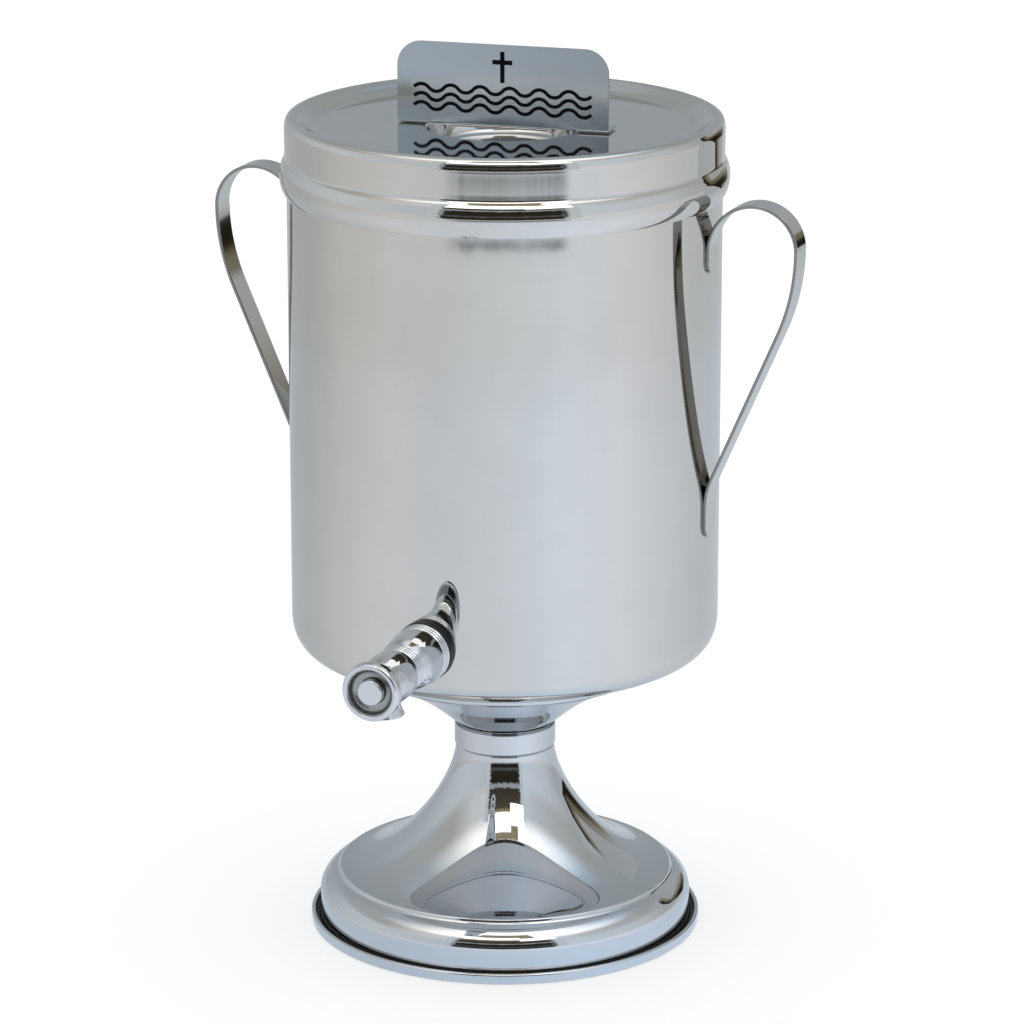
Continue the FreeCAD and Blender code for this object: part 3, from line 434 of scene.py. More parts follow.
# ------------------------------------------------------- turned sheet pieces
# tank: wall, round lower corner and flat bottom
tank_section = soft_corners(
    chain(
        (114.2, 440.6),
        [
            ("L", (114.2, 198.0)),
            ("L", (114.2, 190.0)),
            ("L", (114.2, 182.0)),
            ("L", (114.2, 176.0)),
            ("C", 64, (114.2, 157.0), (102.6, 154.3), (86.9, 151.3)),
            ("L", (76.0, 150.2)),
            ("L", (0.0, 150.2)),
            ("L", (0.0, 151.0)),
            ("L", (75.8, 151.0)),
            ("L", (86.6, 152.1)),
            ("B", (102.2, 155.1), (113.4, 157.6), (113.4, 176.0)),
            ("L", (113.4, 182.0)),
            ("L", (113.4, 190.0)),
            ("L", (113.4, 198.0)),
            ("L", (113.4, 440.6)),
        ],
    ),
    0.3,
    limit=60,
)
tank = lathe("tank_shell", tank_section, 320)
stand_for(tank, M_TANK, "polished_steel", "urn", "tank_body")

lid_section = soft_corners(
    chain(
        (114.95, 404.0),
        [
            ("C", 24, (116.8, 406.3), (117.9, 409.9), (117.9, 413.4)),
            ("C", 28, (117.9, 417.2), (116.9, 420.4), (115.85, 421.9)),
            ("C", 16, (115.5, 422.4), (115.08, 423.0), (115.1, 424.0)),
            ("L", (115.12, 426.5)),
            ("L", (115.19, 434.6)),
            ("L", (115.22, 437.0)),
            ("C", 24, (115.26, 439.3), (115.1, 441.2), (114.45, 442.6)),
            ("C", 20, (113.8, 444.0), (112.4, 444.6), (110.7, 444.6)),
            ("C", 30, (106.9, 444.6), (104.2, 439.0), (96.4, 439.0)),
            ("L", (43.2, 439.0)),
            ("B", (41.6, 439.0), (40.6, 438.3), (40.2, 436.8)),
            ("L", (39.0, 431.0)),
            ("B", (38.5, 428.6), (37.6, 427.0), (35.4, 427.0)),
            ("L", (0.0, 427.0)),
            ("L", (0.0, 426.3)),
            ("L", (35.4, 426.3)),
            ("B", (38.0, 426.3), (39.1, 428.2), (39.7, 430.85)),
            ("L", (40.9, 436.65)),
            ("B", (41.2, 437.8), (41.9, 438.3), (43.2, 438.3)),
            ("L", (96.4, 438.3)),
            ("C", 30, (104.6, 438.3), (107.3, 443.9), (110.7, 443.9)),
            ("A", (113.45772, 442.75772), (114.6, 440.0)),
            ("L", (114.6, 423.2)),
            ("B", (114.6, 422.6), (114.9, 422.04), (115.28, 421.5)),
            ("B", (116.3, 420.04), (117.2, 416.9), (117.2, 413.4)),
            ("B", (117.2, 410.1), (116.2, 406.9), (114.6, 404.55)),
        ],
    ),
    0.15,
    limit=60,
)
lid = lathe("lid_cover", lid_section, 320)
stand_for(lid, M_LID, "polished_steel", "lid", "lid_shell")

funnel_section = soft_corners(
    chain(
        (5.2, 111.4),
        [
            ("L", (24.9, 111.4)),
            ("L", (24.9, 112.75)),
            ("L", (26.6, 112.75)),
            ("C", 64, (45.0, 128.85), (49.5, 131.0), (74.9, 144.6)),
            ("A", (79.2, 147.3), (76.3, 150.2)),
            ("L", (73.6, 150.2)),
            ("L", (73.6, 145.6)),
            ("B", (48.6, 132.3), (44.2, 130.0), (25.4, 113.4)),
            ("L", (5.2, 113.4)),
        ],
    ),
    0.25,
    limit=45,
)
funnel = lathe("trumpet_cup", funnel_section, 256)
stand_for(funnel, M_FOOT, "polished_steel", "urn", "pedestal_funnel")

collar_section = chain(
    (21.5, 99.6),
    [
        ("L", (26.2, 99.6)),
        ("A", (26.9071, 99.8929), (27.2, 100.6)),
        ("L", (27.2, 110.9)),
        ("A", (27.05355, 111.25355), (26.7, 111.4)),
        ("L", (21.5, 111.4)),
    ],
)
collar = lathe("neck_collar", collar_section, 192)
stand_for(collar, M_FOOT, "polished_steel", "urn", "pedestal_collar")

base_section = soft_corners(
    chain(
        (5.2, 99.6),
        [
            ("L", (25.4, 99.6)),
            ("A", (26.2485, 99.2485), (26.6, 98.4)),
            ("C", 150, (28.1, 77.2), (55.9, 35.55), (88.9, 30.72)),
            ("A", (89.62, 30.42), (90.0, 29.75)),
            ("B", (90.2, 28.9), (90.8, 28.2), (92.0, 27.7)),
            ("C", 40, (95.4, 26.3), (100.0, 22.8), (100.5, 16.8)),
            ("L", (100.5, 5.9)),
            ("L", (99.9, 4.4)),
            ("L", (98.7, 4.4)),
            ("L", (99.3, 5.9)),
            ("L", (99.3, 16.6)),
            ("B", (98.7, 21.9), (94.4, 25.1), (91.6, 26.3)),
            ("B", (90.2, 26.9), (88.9, 27.5), (88.7, 28.7)),
            ("L", (88.0, 29.52)),
            ("B", (55.2, 34.4), (26.9, 76.8), (25.4, 98.4)),
            ("L", (5.2, 98.4)),
        ],
        1.0,
    ),
    0.35,
    limit=40,
)
base = lathe("flared_base", base_section, 512)
stand_for(base, M_FOOT, "polished_steel", "urn", "pedestal_base")

foot_section = soft_corners(
    chain(
        (84.0, 0.0),
        [
            ("L", (104.8, 0.0)),
            ("A", (105.365685, 0.234315), (105.6, 0.8)),
            ("L", (105.6, 4.55)),
            ("A", (105.233883, 5.433883), (104.35, 5.8)),
            ("A", (103.466117, 5.433883), (103.1, 4.55)),
            ("L", (103.1, 1.2)),
            ("L", (99.0, 1.2)),
            ("L", (99.0, 4.4)),
            ("L", (84.0, 4.4)),
        ],
    ),
    0.3,
    limit=60,
)
foot = lathe("foot_roll", foot_section, 384)
stand_for(foot, M_FOOT, "polished_steel", "urn", "foot_ring")

seal_section = soft_corners(
    [
        (99.0, 1.2),
        (103.1, 1.2),
        (103.1, 2.6),
        (101.5, 2.6),
        (100.7, 4.4),
        (99.0, 4.4),
    ],
    0.25,
    limit=20,
)
seal = lathe("groove_seal", seal_section, 384)
stand_for(seal, M_RUBBER, "black_rubber", "urn", "foot_seal")

# ------------------------------------------------------------ cut and joined
def creases(me, sharp=35.0):
    bm = bmesh.new()
    bm.from_mesh(me)
    bmesh.ops.remove_doubles(bm, verts=bm.verts, dist=2e-6)
    bmesh.ops.dissolve_degenerate(bm, edges=bm.edges, dist=1e-6)
    for e in bm.edges:
        if len(e.link_faces) == 2:
            e.smooth = e.calc_face_angle(0.0) < math.radians(sharp)
    bm.to_mesh(me)
    bm.free()
    for p in me.polygons:
        p.use_smooth = True


def join_or_cut(obj, tool, how, sharp=35.0):
    """Join another solid to obj, or cut it away, and drop the tool."""
    m = obj.modifiers.new(how.lower(), "BOOLEAN")
    m.operation = how
    m.solver = "EXACT"
    m.object = tool
    deps = bpy.context.evaluated_depsgraph_get()
    me = bpy.data.meshes.new_from_object(obj.evaluated_get(deps))
    old = obj.data
    obj.modifiers.clear()
    obj.data = me
    bpy.data.meshes.remove(old)
    old = tool.data
    bpy.data.objects.remove(tool)
    bpy.data.meshes.remove(old)
    creases(obj.data, sharp)


def soft_rect(half_w, half_t, r, k=4):
    """Section of a strap, across and through, with rounded edges and a thin
    strip beside each so that the flats stay flat."""
    pts = []
    for sx, sy, a0 in ((1, 1, 0), (-1, 1, 90), (-1, -1, 180), (1, -1, 270)):
        cx, cy = sx * (half_w - r), sy * (half_t - r)
        arc = []
        for i in range(k + 1):
            a = math.radians(a0 + 90 * i / k)
            arc.append((cx + r * math.cos(a), cy + r * math.sin(a)))
        if a0 in (0, 180):
            arc.append((cx - sx * 0.35, arc[-1][1]))
        else:
            arc.insert(0, (cx - sx * 0.35, arc[0][1]))
        pts += arc
    return pts


def strap(name, path, half_w, half_t, r, matrix=None, tip=0.0, seat=None):
    """Bend a flat strap along a path in the XZ plane. The ends are rounded to
    tip, and seat is the radius that the backs of the ends are dressed to."""
    line = [Vector((p[0], 0.0, p[1])) for p in path]
    # even out long steps and add stations in the rounded ends
    run = [0.0]
    for a, b in zip(line, line[1:]):
        run.append(run[-1] + (b - a).length)
    total = run[-1]
    stations = set()
    for a, b in zip(run, run[1:]):
        n = max(1, int(math.ceil((b - a) / 3.0)))
        for i in range(n + 1):
            stations.add(round(a + (b - a) * i / n, 5))
    if tip:
        for i in range(13):
            t = tip * (1 - math.cos(math.pi / 2 * i / 12))
            stations.add(round(t, 5))
            stations.add(round(total - t, 5))
    stations = sorted(stations)
    clean = [stations[0]]
    for s in stations[1:]:
        if s - clean[-1] > 0.02:
            clean.append(s)
    clean[-1] = total

    def at(s):
        for k in range(len(run) - 1):
            if s <= run[k + 1] or k == len(run) - 2:
                w = (s - run[k]) / (run[k + 1] - run[k])
                return line[k].lerp(line[k + 1], w), k
        return line[-1], len(run) - 2

    tangents = []
    for k in range(len(line)):
        a = (line[k] - line[k - 1]).normalized() if k else None
        b = (line[k + 1] - line[k]).normalized() if k < len(line) - 1 else None
        tangents.append(((a or b) + (b or a)).normalized())
    verts, faces = [], []
    count = 0
    for s in clean:
        p, k = at(s)
        w = (s - run[k]) / (run[k + 1] - run[k])
        t = tangents[k].lerp(tangents[k + 1], w).normalized()
        out = Vector((t.z, 0.0, -t.x))
        end = min(s, total - s)
        hw = half_w
        if tip and end < tip:
            hw = half_w - tip + math.sqrt(max(0.0, tip * tip - (tip - end) ** 2))
        hw = max(hw, r + 0.4 if not tip else 0.15)
        rr = min(r, hw * 0.8)
        ring = soft_rect(hw, half_t, rr) if hw > r + 0.36 else None
        if ring is None:
            full = soft_rect(half_w, half_t, r)
            ring = [(x * hw / half_w, y) for x, y in full]
        count = len(ring)
        for x, y in ring:
            v = p + out * y + Vector((0, x, 0))
            if seat and v.x * v.x + v.y * v.y < seat * seat:
                v.x = math.sqrt(seat * seat - v.y * v.y)
            verts.append(tuple(v))
    for i in range(len(clean) - 1):
        for j in range(count):
            jj = (j + 1) % count
            faces.append(
                (
                    i * count + j,
                    i * count + jj,
                    (i + 1) * count + jj,
                    (i + 1) * count + j,
                )
            )
    faces.append(tuple(range(count)))
    faces.append(tuple(range((len(clean) - 1) * count, len(clean) * count)))
    return mesh_object(name, verts, faces, matrix, sharp=40.0)


# hole in the tank's wall for the faucet's shank
join_or_cut(
    tank,
    lathe("drill", [(0, 100.0), (8.9, 100.0), (8.9, 130.0), (0, 130.0)], 96, TO_FAUCET),
    "DIFFERENCE",
)

# ------------------------------------------------------------------ handles
TAB, REACH, PEAK = 114.83, 162.3, 407.5
R_OUT, R_TOP, R_SIDE, R_IN = 26.0, 22.8, 110.0, 40.0
LEAN = math.radians(23.5)
c1 = (REACH - TAB - R_OUT - R_TOP) / (R_TOP - R_OUT)
b1 = math.acos(c1)
bend_z = PEAK - R_OUT * math.sin(b1) - R_TOP * (1 - math.sin(b1))
knee = (TAB + R_OUT * (1 - c1), bend_z + R_OUT * math.sin(b1))
side = (REACH, knee[1] - R_TOP * math.sin(b1))
fall = ((R_SIDE + R_IN) * (1 - math.cos(LEAN)), (R_SIDE + R_IN) * math.sin(LEAN))
straight = (REACH - TAB - fall[0]) / math.sin(LEAN)
p1 = (REACH - R_SIDE * (1 - math.cos(LEAN)), side[1] - R_SIDE * math.sin(LEAN))
p2 = (p1[0] - straight * math.sin(LEAN), p1[1] - straight * math.cos(LEAN))
p3 = (TAB, p2[1] - R_IN * math.sin(LEAN))
half = LEAN / 2
b2 = (b1 + math.pi) / 2
handle_path = chain(
    (TAB, 227.0),
    [
        ("L", p3),
        ("A", (TAB + R_IN * (1 - math.cos(half)), p3[1] + R_IN * math.sin(half)), p2),
        ("L", p1),
        (
            "A",
            (REACH - R_SIDE * (1 - math.cos(half)), side[1] - R_SIDE * math.sin(half)),
            side,
        ),
        (
            "A",
            (REACH - R_TOP - R_TOP * math.cos(b2), side[1] + R_TOP * math.sin(b2)),
            knee,
        ),
        (
            "A",
            (
                TAB + R_OUT * (1 - math.cos(b1 / 2)),
                bend_z + R_OUT * math.sin(b1 / 2),
            ),
            (TAB, bend_z),
        ),
        ("L", (TAB, 369.0)),
    ],
    3.0,
)
HALF_TURN = Matrix.Rotation(math.pi, 4, "Z")
for name, node, turn_by in (
    ("strap_right", "right_handle", None),
    ("strap_left", "left_handle", HALF_TURN),
):
    obj = strap(name, handle_path, 7.75, 0.9, 0.45, turn_by, tip=7.6, seat=114.2)
    stand_for(obj, M_HANDLE, "polished_steel", "urn", node)

# ------------------------------------------------------------- strap and rivets
def bent(pts, radii):
    """A path of straight runs whose inner corners are bent to the given radii."""
    out = [pts[0]]
    for i in range(1, len(pts) - 1):
        p = Vector(pts[i])
        u = (Vector(pts[i - 1]) - p).normalized()
        v = (Vector(pts[i + 1]) - p).normalized()
        half = math.acos(max(-1, min(1, u.dot(v)))) / 2
        r = radii[i - 1]
        reach = r / math.tan(half)
        c = p + (u + v).normalized() * (r / math.sin(half))
        t1, t2 = p + u * reach, p + v * reach
        a0 = math.atan2(t1.y - c.y, t1.x - c.x)
        a1 = math.atan2(t2.y - c.y, t2.x - c.x)
        d = (a1 - a0 + math.pi) % (2 * math.pi) - math.pi
        for k in range(13):
            a = a0 + d * k / 12
            out.append((c.x + r * math.cos(a), c.y + r * math.sin(a)))
    out.append(pts[-1])
    return out


lid_path = bent(
    [
        (25.5, 427.6),
        (34.0, 427.6),
        (27.6, 439.1),
        (-27.6, 439.1),
        (-34.0, 427.6),
        (-25.5, 427.6),
    ],
    [1.4, 1.7, 1.7, 1.4],
)
grip = strap("lid_strap", lid_path, 9.5, 0.6, 0.3, TO_LID)
for sx in (-1, 1):
    join_or_cut(
        grip,
        lathe(
            "drill",
            [(0, 436.5), (1.6, 436.5), (1.6, 441.0), (0, 441.0)],
            32,
            TO_LID @ Matrix.Translation(((sx * 18.8 + 1.5) * MM, -1.5 * MM, 0)),
        ),
        "DIFFERENCE",
    )
stand_for(grip, M_LID, "polished_steel", "lid", "lid_strap_handle")

rivet_section = chain(
    (0.0, 437.1),
    [
        ("L", (1.5, 437.1)),
        ("B", (2.2, 437.2), (2.6, 437.7), (2.7, 438.5)),
        ("L", (1.6, 438.5)),
        ("L", (1.6, 440.7)),
        ("L", (3.0, 440.7)),
        ("B", (3.0, 441.5), (1.9, 442.1), (0.0, 442.1)),
    ],
    0.5,
)
for i, sx in enumerate((-1, 1)):
    obj = lathe(
        "rivet_%d" % (i + 1),
        rivet_section,
        48,
        TO_LID @ Matrix.Translation(((sx * 18.8 + 1.5) * MM, -1.5 * MM, 0)),
    )
    stand_for(obj, M_LID, "polished_steel", "lid", "sign_rivets")

# ------------------------------------------------------------------- faucet
flange_section = chain(
    (8.5, 118.6),
    [
        ("L", (15.0, 118.6)),
        ("A", (15.6, 119.85), (15.0, 121.1)),
        ("A", (15.6, 122.35), (15.0, 123.6)),
        ("A", (15.6, 124.85), (15.0, 126.1)),
        ("L", (8.5, 126.1)),
    ],
    1.0,
)
obj = lathe("ribbed_flange", flange_section, 128, TO_FAUCET)
stand_for(obj, M_FAUCET, "plated_faucet", "urn", "faucet_flange")

shank = []
pitch, depth = 1.25, 0.32
for i in range(1, 10):
    s = 99.2 + pitch * (i - 1)
    shank += [
        ("L", (8.5 - depth, s)),
        ("L", (8.5, s + pitch * 0.42)),
        ("L", (8.5, s + pitch * 0.58)),
    ]
valve = lathe(
    "valve_case",
    chain(
        (0.0, 98.0),
        [("L", (7.9, 98.0)), ("L", (8.5, 98.6))]
        + shank
        + [
            ("L", (8.5, 111.0)),
            ("L", (8.5, 126.1)),
            ("L", (14.4, 126.1)),
            ("A", (14.82426, 126.27574), (15.0, 126.7)),
            ("C", 40, (15.0, 134.6), (14.6, 142.6), (11.9, 147.4)),
            ("A", (12.6, 148.55), (11.9, 149.7)),
            ("A", (12.6, 150.85), (11.9, 152.0)),
            ("A", (12.6, 153.15), (11.9, 154.3)),
            ("C", 24, (12.5, 154.6), (13.5, 157.2), (13.5, 161.8)),
            ("C", 32, (13.5, 167.4), (13.0, 173.4), (11.9, 178.2)),
            ("L", (11.9, 184.0)),
            ("L", (0.0, 184.0)),
        ],
        1.0,
    ),
    128,
    TO_FAUCET,
)
TO_SPOUT = Matrix.Translation((0, -172.0 * MM, FAUCET_Z * MM))
join_or_cut(
    valve,
    lathe(
        "spout",
        chain(
            (0.0, -16.4),
            [
                ("L", (10.5, -16.4)),
                ("A", (10.853553, -16.253553), (11.0, -15.9)),
                ("B", (10.6, -14.4), (9.2, -13.2), (9.2, -10.4)),
                ("L", (9.2, -7.0)),
                ("L", (9.2, -4.0)),
                ("L", (0.0, -4.0)),
            ],
            1.0,
        ),
        96,
        TO_SPOUT,
    ),
    "UNION",
)
aim = math.radians(-26.0)
screw_at = Matrix.Translation(
    (13.2 * math.cos(aim) * MM, -143.2 * MM, (FAUCET_Z + 13.2 * math.sin(aim)) * MM)
)
ball = [
    (1.7 * math.sin(math.pi * i / 24), -1.7 * math.cos(math.pi * i / 24))
    for i in range(25)
]
ball[0] = (0.0, -1.7)
ball[-1] = (0.0, 1.7)
join_or_cut(valve, lathe("screw", ball, 48, screw_at), "UNION")
join_or_cut(
    valve,
    lathe(
        "bore",
        [
            (0.0, 96.0),
            (5.5, 96.0),
            (5.5, 126.0),
            (3.6, 126.0),
            (3.6, 130.0),
            (6.0, 130.0),
            (6.0, 177.5),
            (9.2, 177.5),
            (9.2, 186.0),
            (0.0, 186.0),
        ],
        96,
        TO_FAUCET,
    ),
    "DIFFERENCE",
)
join_or_cut(
    valve,
    lathe("bore", [(0.0, -18.0), (4.6, -18.0), (4.6, -1.0), (0.0, -1.0)], 96, TO_SPOUT),
    "DIFFERENCE",
)
stand_for(valve, M_FAUCET, "plated_faucet", "urn", "faucet_body")

bezel_section = chain(
    (11.9, 183.2),
    [
        ("L", (13.8, 183.2)),
        ("A", (14.86066, 183.63934), (15.3, 184.7)),
        ("L", (15.3, 187.0)),
        ("B", (15.3, 188.6), (14.7, 189.7), (13.7, 189.7)),
        ("L", (12.9, 189.7)),
        ("A", (12.47574, 189.52426), (12.3, 189.1)),
        ("L", (12.3, 184.0)),
        ("L", (11.9, 184.0)),
    ],
)
obj = lathe("front_bezel", bezel_section, 160, TO_FAUCET)
stand_for(obj, M_FAUCET, "plated_faucet", "urn", "faucet_bezel")

dish_section = chain(
    (7.1, 184.0),
    [
        ("L", (12.3, 184.0)),
        ("L", (12.3, 188.8)),
        ("L", (11.8, 188.8)),
        ("B", (11.6, 186.2), (10.6, 185.0), (8.6, 184.8)),
        ("L", (7.1, 184.8)),
    ],
)
obj = lathe("grey_dish", dish_section, 160, TO_FAUCET)
stand_for(obj, M_DISH, "dark_dish", "urn", "bezel_dish")

button_section = chain(
    (2.0, 186.0),
    [
        ("L", (6.2, 186.0)),
        ("L", (6.7, 186.5)),
        ("L", (6.7, 188.8)),
        ("A", (6.4364, 189.4364), (5.8, 189.7)),
        ("L", (5.2, 189.7)),
        ("L", (0.0, 189.7)),
        ("L", (0.0, 188.4)),
        ("L", (2.0, 188.4)),
    ],
)
obj = lathe("button_cap", button_section, 96, TO_FAUCET)
stand_for(obj, M_BUTTON, "plated_faucet", "button", "push_button")

# --------------------------------------------------------------------- studio
scene = bpy.context.scene
scene.view_settings.view_transform = "Standard"
scene.view_settings.look = "None"

CAM_AZ = math.radians(20.9)
cam_data = bpy.data.cameras.new("camera")
cam_data.sensor_width = 36.0
cam_data.lens = 167.76
cam_data.clip_end = 100.0
cam = bpy.data.objects.new("camera", cam_data)
scene.collection.objects.link(cam)
turn = Matrix.Rotation(CAM_AZ, 4, "Z")
cam.location = turn @ Vector((3.8 * MM, -2446.46 * MM, 940.46 * MM))
cam.rotation_euler = (math.radians(90 - 16.226), 0.0, CAM_AZ)
scene.camera = cam

# plain pale floor
floor_mat, nb, bsdf = new_material("studio_floor")
bsdf.inputs["Base Color"].default_value = (0.60, 0.61, 0.62, 1.0)
bsdf.inputs["Roughness"].default_value = 0.9
bsdf.inputs["Specular IOR Level"].default_value = 0.0
bsdf.inputs["Emission Color"].default_value = (1.0, 1.0, 1.0, 1.0)
bsdf.inputs["Emission Strength"].default_value = 0.45
bm = bmesh.new()
bmesh.ops.create_circle(bm, cap_ends=True, radius=9.0, segments=96)
me = bpy.data.meshes.new("floor")
bm.to_mesh(me)
bm.free()
floor = bpy.data.objects.new("floor", me)
scene.collection.objects.link(floor)
finish(floor, floor_mat)

# soft even light from all round
world = bpy.data.worlds.new("studio")
scene.world = world
world.use_nodes = True
nb = Nodes(world.node_tree)
out = nb.add("ShaderNodeOutputWorld")
bg = nb.add("ShaderNodeBackground")
nb.tree.links.new(bg.outputs[0], out.inputs["Surface"])
bg.inputs["Color"].default_value = (1.0, 1.0, 1.0, 1.0)
bg.inputs["Strength"].default_value = 1.0
world.cycles_visibility.glossy = False


# The polished metal shows a tent of pale cloth: cards that only reflections see,
# laid out by their bearing from the camera's side.
def glow(name, color=None, strength=1.0):
    mat = bpy.data.materials.new(name)
    mat.use_nodes = True
    nb = Nodes(mat.node_tree)
    out = nb.add("ShaderNodeOutputMaterial")
    em = nb.add("ShaderNodeEmission")
    nb.tree.links.new(em.outputs[0], out.inputs["Surface"])
    em.inputs["Strength"].default_value = strength
    if color is not None:
        em.inputs["Color"].default_value = (*color, 1.0)
    mat.cycles.emission_sampling = "NONE"
    return mat, nb, em


def card(name, verts, faces, mat):
    me = bpy.data.meshes.new(name)
    me.from_pydata(verts, [], faces)
    obj = bpy.data.objects.new(name, me)
    scene.collection.objects.link(obj)
    obj.rotation_euler = (0.0, 0.0, CAM_AZ)
    finish(obj, mat)
    obj.visible_camera = False
    obj.visible_diffuse = False
    obj.visible_transmission = False
    obj.visible_volume_scatter = False
    obj.visible_shadow = False
    return obj


def bearing(az, dist, z):
    a = math.radians(az)
    return (dist * math.sin(a), -dist * math.cos(a), z)


def upright(name, az0, az1, z0, z1, dist, mat, n=32):
    """A card that stands on an arc round the object."""
    verts, faces = [], []
    for i in range(n + 1):
        az = az0 + (az1 - az0) * i / n
        verts += [bearing(az, dist, z0), bearing(az, dist, z1)]
    for i in range(n):
        faces.append((2 * i, 2 * i + 2, 2 * i + 3, 2 * i + 1))
    return card(name, verts, faces, mat)


def ramp(nb, x, stops):
    n = nb.add("ShaderNodeValToRGB")
    nb.put(n.inputs[0], x)
    els = n.color_ramp.elements
    while len(els) > 1:
        els.remove(els[-1])
    for i, (pos, c) in enumerate(stops):
        e = els[0] if i == 0 else els.new(pos)
        e.position = pos
        e.color = (*c, 1.0)
    return n.outputs["Color"]


def around(nb):
    """Bearing of the shaded point, 0 to 1, with the camera's side at 0.5."""
    co = nb.add("ShaderNodeTexCoord").outputs["Object"]
    sep = nb.add("ShaderNodeSeparateXYZ")
    nb.put(sep.inputs[0], co)
    x, y, z = sep.outputs
    az = nb.math("ARCTAN2", x, nb.math("MULTIPLY", y, -1.0))
    t = nb.math("MULTIPLY_ADD", az, 1 / (2 * math.pi), 0.5)
    rad = nb.math(
        "SQRT", nb.math("ADD", nb.math("MULTIPLY", x, x), nb.math("MULTIPLY", y, y))
    )
    return co, az, t, rad, z


def by_bearing(table):
    return [((az + 180.0) / 360.0, c) for az, c in table]


# walls and ceiling of the tent
wall_mat, nb, em = glow("tent_wall", strength=2.0)
co, az, t, rad, z = around(nb)
walls = ramp(
    nb,
    t,
    by_bearing(
        [
            (-180, (0.198, 0.216, 0.226)),
            (-150, (0.25, 0.272, 0.285)),
            (-120, (0.345, 0.367, 0.386)),
            (-90, (0.395, 0.42, 0.435)),
            (-60, (0.385, 0.405, 0.425)),
            (-32, (0.35, 0.375, 0.40)),
            (30, (0.42, 0.465, 0.50)),
            (60, (0.405, 0.44, 0.478)),
            (90, (0.372, 0.395, 0.415)),
            (115, (0.29, 0.30, 0.30)),
            (150, (0.23, 0.255, 0.265)),
            (180, (0.198, 0.216, 0.226)),
        ]
    ),
)
roof = ramp(
    nb,
    t,
    by_bearing(
        [
            (-180, (0.27, 0.29, 0.30)),
            (-120, (0.26, 0.29, 0.31)),
            (-90, (0.50, 0.52, 0.51)),
            (-55, (0.90, 0.86, 0.82)),
            (0, (0.95, 0.95, 0.95)),
            (60, (0.90, 0.90, 0.90)),
            (90, (0.65, 0.70, 0.75)),
            (120, (0.30, 0.37, 0.43)),
            (150, (0.19, 0.21, 0.24)),
            (180, (0.27, 0.29, 0.30)),
        ]
    ),
)
upper = ramp(
    nb,
    t,
    by_bearing(
        [
            (-180, (0.198, 0.216, 0.226)),
            (-150, (0.23, 0.245, 0.25)),
            (-120, (0.27, 0.28, 0.275)),
            (-90, (0.29, 0.285, 0.265)),
            (-62, (0.43, 0.43, 0.425)),
            (-32, (0.45, 0.46, 0.465)),
            (30, (0.42, 0.465, 0.50)),
            (60, (0.36, 0.375, 0.38)),
            (90, (0.31, 0.315, 0.31)),
            (115, (0.26, 0.262, 0.255)),
            (150, (0.22, 0.24, 0.245)),
            (180, (0.198, 0.216, 0.226)),
        ]
    ),
)
walls = nb.mix(nb.step(z, 2.5, 3.7), walls, upper)
nb.put(em.inputs["Color"], nb.mix(nb.step(z, 4.6, 5.7), walls, roof))
bm = bmesh.new()
bmesh.ops.create_uvsphere(bm, u_segments=96, v_segments=48, radius=7.0)
me = bpy.data.meshes.new("tent")
bm.to_mesh(me)
bm.free()
tent = bpy.data.objects.new("tent", me)
scene.collection.objects.link(tent)
tent.rotation_euler = (0.0, 0.0, CAM_AZ)
finish(tent, wall_mat)
for o in (tent,):
    o.visible_camera = False
    o.visible_diffuse = False
    o.visible_transmission = False
    o.visible_volume_scatter = False
    o.visible_shadow = False

# cloth on the table, with an edge towards the camera; the object's shadow is painted on it as a
# darker, cooler ring close to the object
cloth_mat, nb, em = glow("tent_cloth", strength=1.2)
co, az, t, rad, z = around(nb)
cloth = ramp(
    nb,
    t,
    by_bearing(
        [
            (-180, (0.46, 0.50, 0.53)),
            (-150, (0.46, 0.49, 0.52)),
            (-120, (0.52, 0.55, 0.57)),
            (-90, (0.66, 0.675, 0.68)),
            (-60, (0.735, 0.758, 0.79)),
            (-30, (0.715, 0.755, 0.81)),
            (0, (0.765, 0.83, 0.895)),
            (30, (0.825, 0.905, 1.0)),
            (60, (0.845, 0.885, 0.96)),
            (90, (0.733, 0.766, 0.817)),
            (120, (0.607, 0.65, 0.69)),
            (150, (0.533, 0.583, 0.629)),
            (180, (0.46, 0.50, 0.53)),
        ]
    ),
)
# painted shadow: the cloth is darker and bluer within about 0.24 m of the object, for the object's
# shadow on it
painted_shadow_and_tone = nb.mix(nb.step(rad, 0.10, 0.24), (0.80, 0.88, 0.955), (1.0, 1.0, 1.0))
painted_shadow_and_tone = nb.mix(nb.step(rad, 0.7, 2.4), painted_shadow_and_tone, (0.90, 0.90, 0.90))
painted_shadow_and_tone = nb.mix(nb.step(rad, 1.22, 1.55), painted_shadow_and_tone, (0.94, 0.92, 0.885))
n = nb.add("ShaderNodeMix", data_type="RGBA", blend_type="MULTIPLY")
n.inputs["Factor"].default_value = 1.0
nb.put(n.inputs["A"], cloth)
nb.put(n.inputs["B"], painted_shadow_and_tone)
cloth = n.outputs["Result"]
vec = nb.add("ShaderNodeCombineXYZ")
nb.put(vec.inputs[0], nb.math("MULTIPLY", az, 1.3))
nb.put(vec.inputs[1], nb.math("MULTIPLY", rad, 0.35))
fold = nb.noise(vec.outputs[0], 4.0, 3.0, 0.6)
n = nb.add("ShaderNodeMix", data_type="RGBA", blend_type="MULTIPLY")
n.inputs["Factor"].default_value = 1.0
nb.put(n.inputs["A"], cloth)
nb.put(n.inputs["B"], nb.mix(nb.step(fold, 0.3, 0.7), (0.993, 0.993, 0.993), (1.006, 1.006, 1.006)))
cloth = n.outputs["Result"]
front = nb.math(
    "MULTIPLY",
    nb.step(az, math.radians(-33), math.radians(-20)),
    nb.step(az, math.radians(35), math.radians(27), 0.0, 1.0),
)
vec = nb.add("ShaderNodeCombineXYZ")
nb.put(vec.inputs[0], nb.math("MULTIPLY", az, 0.9))
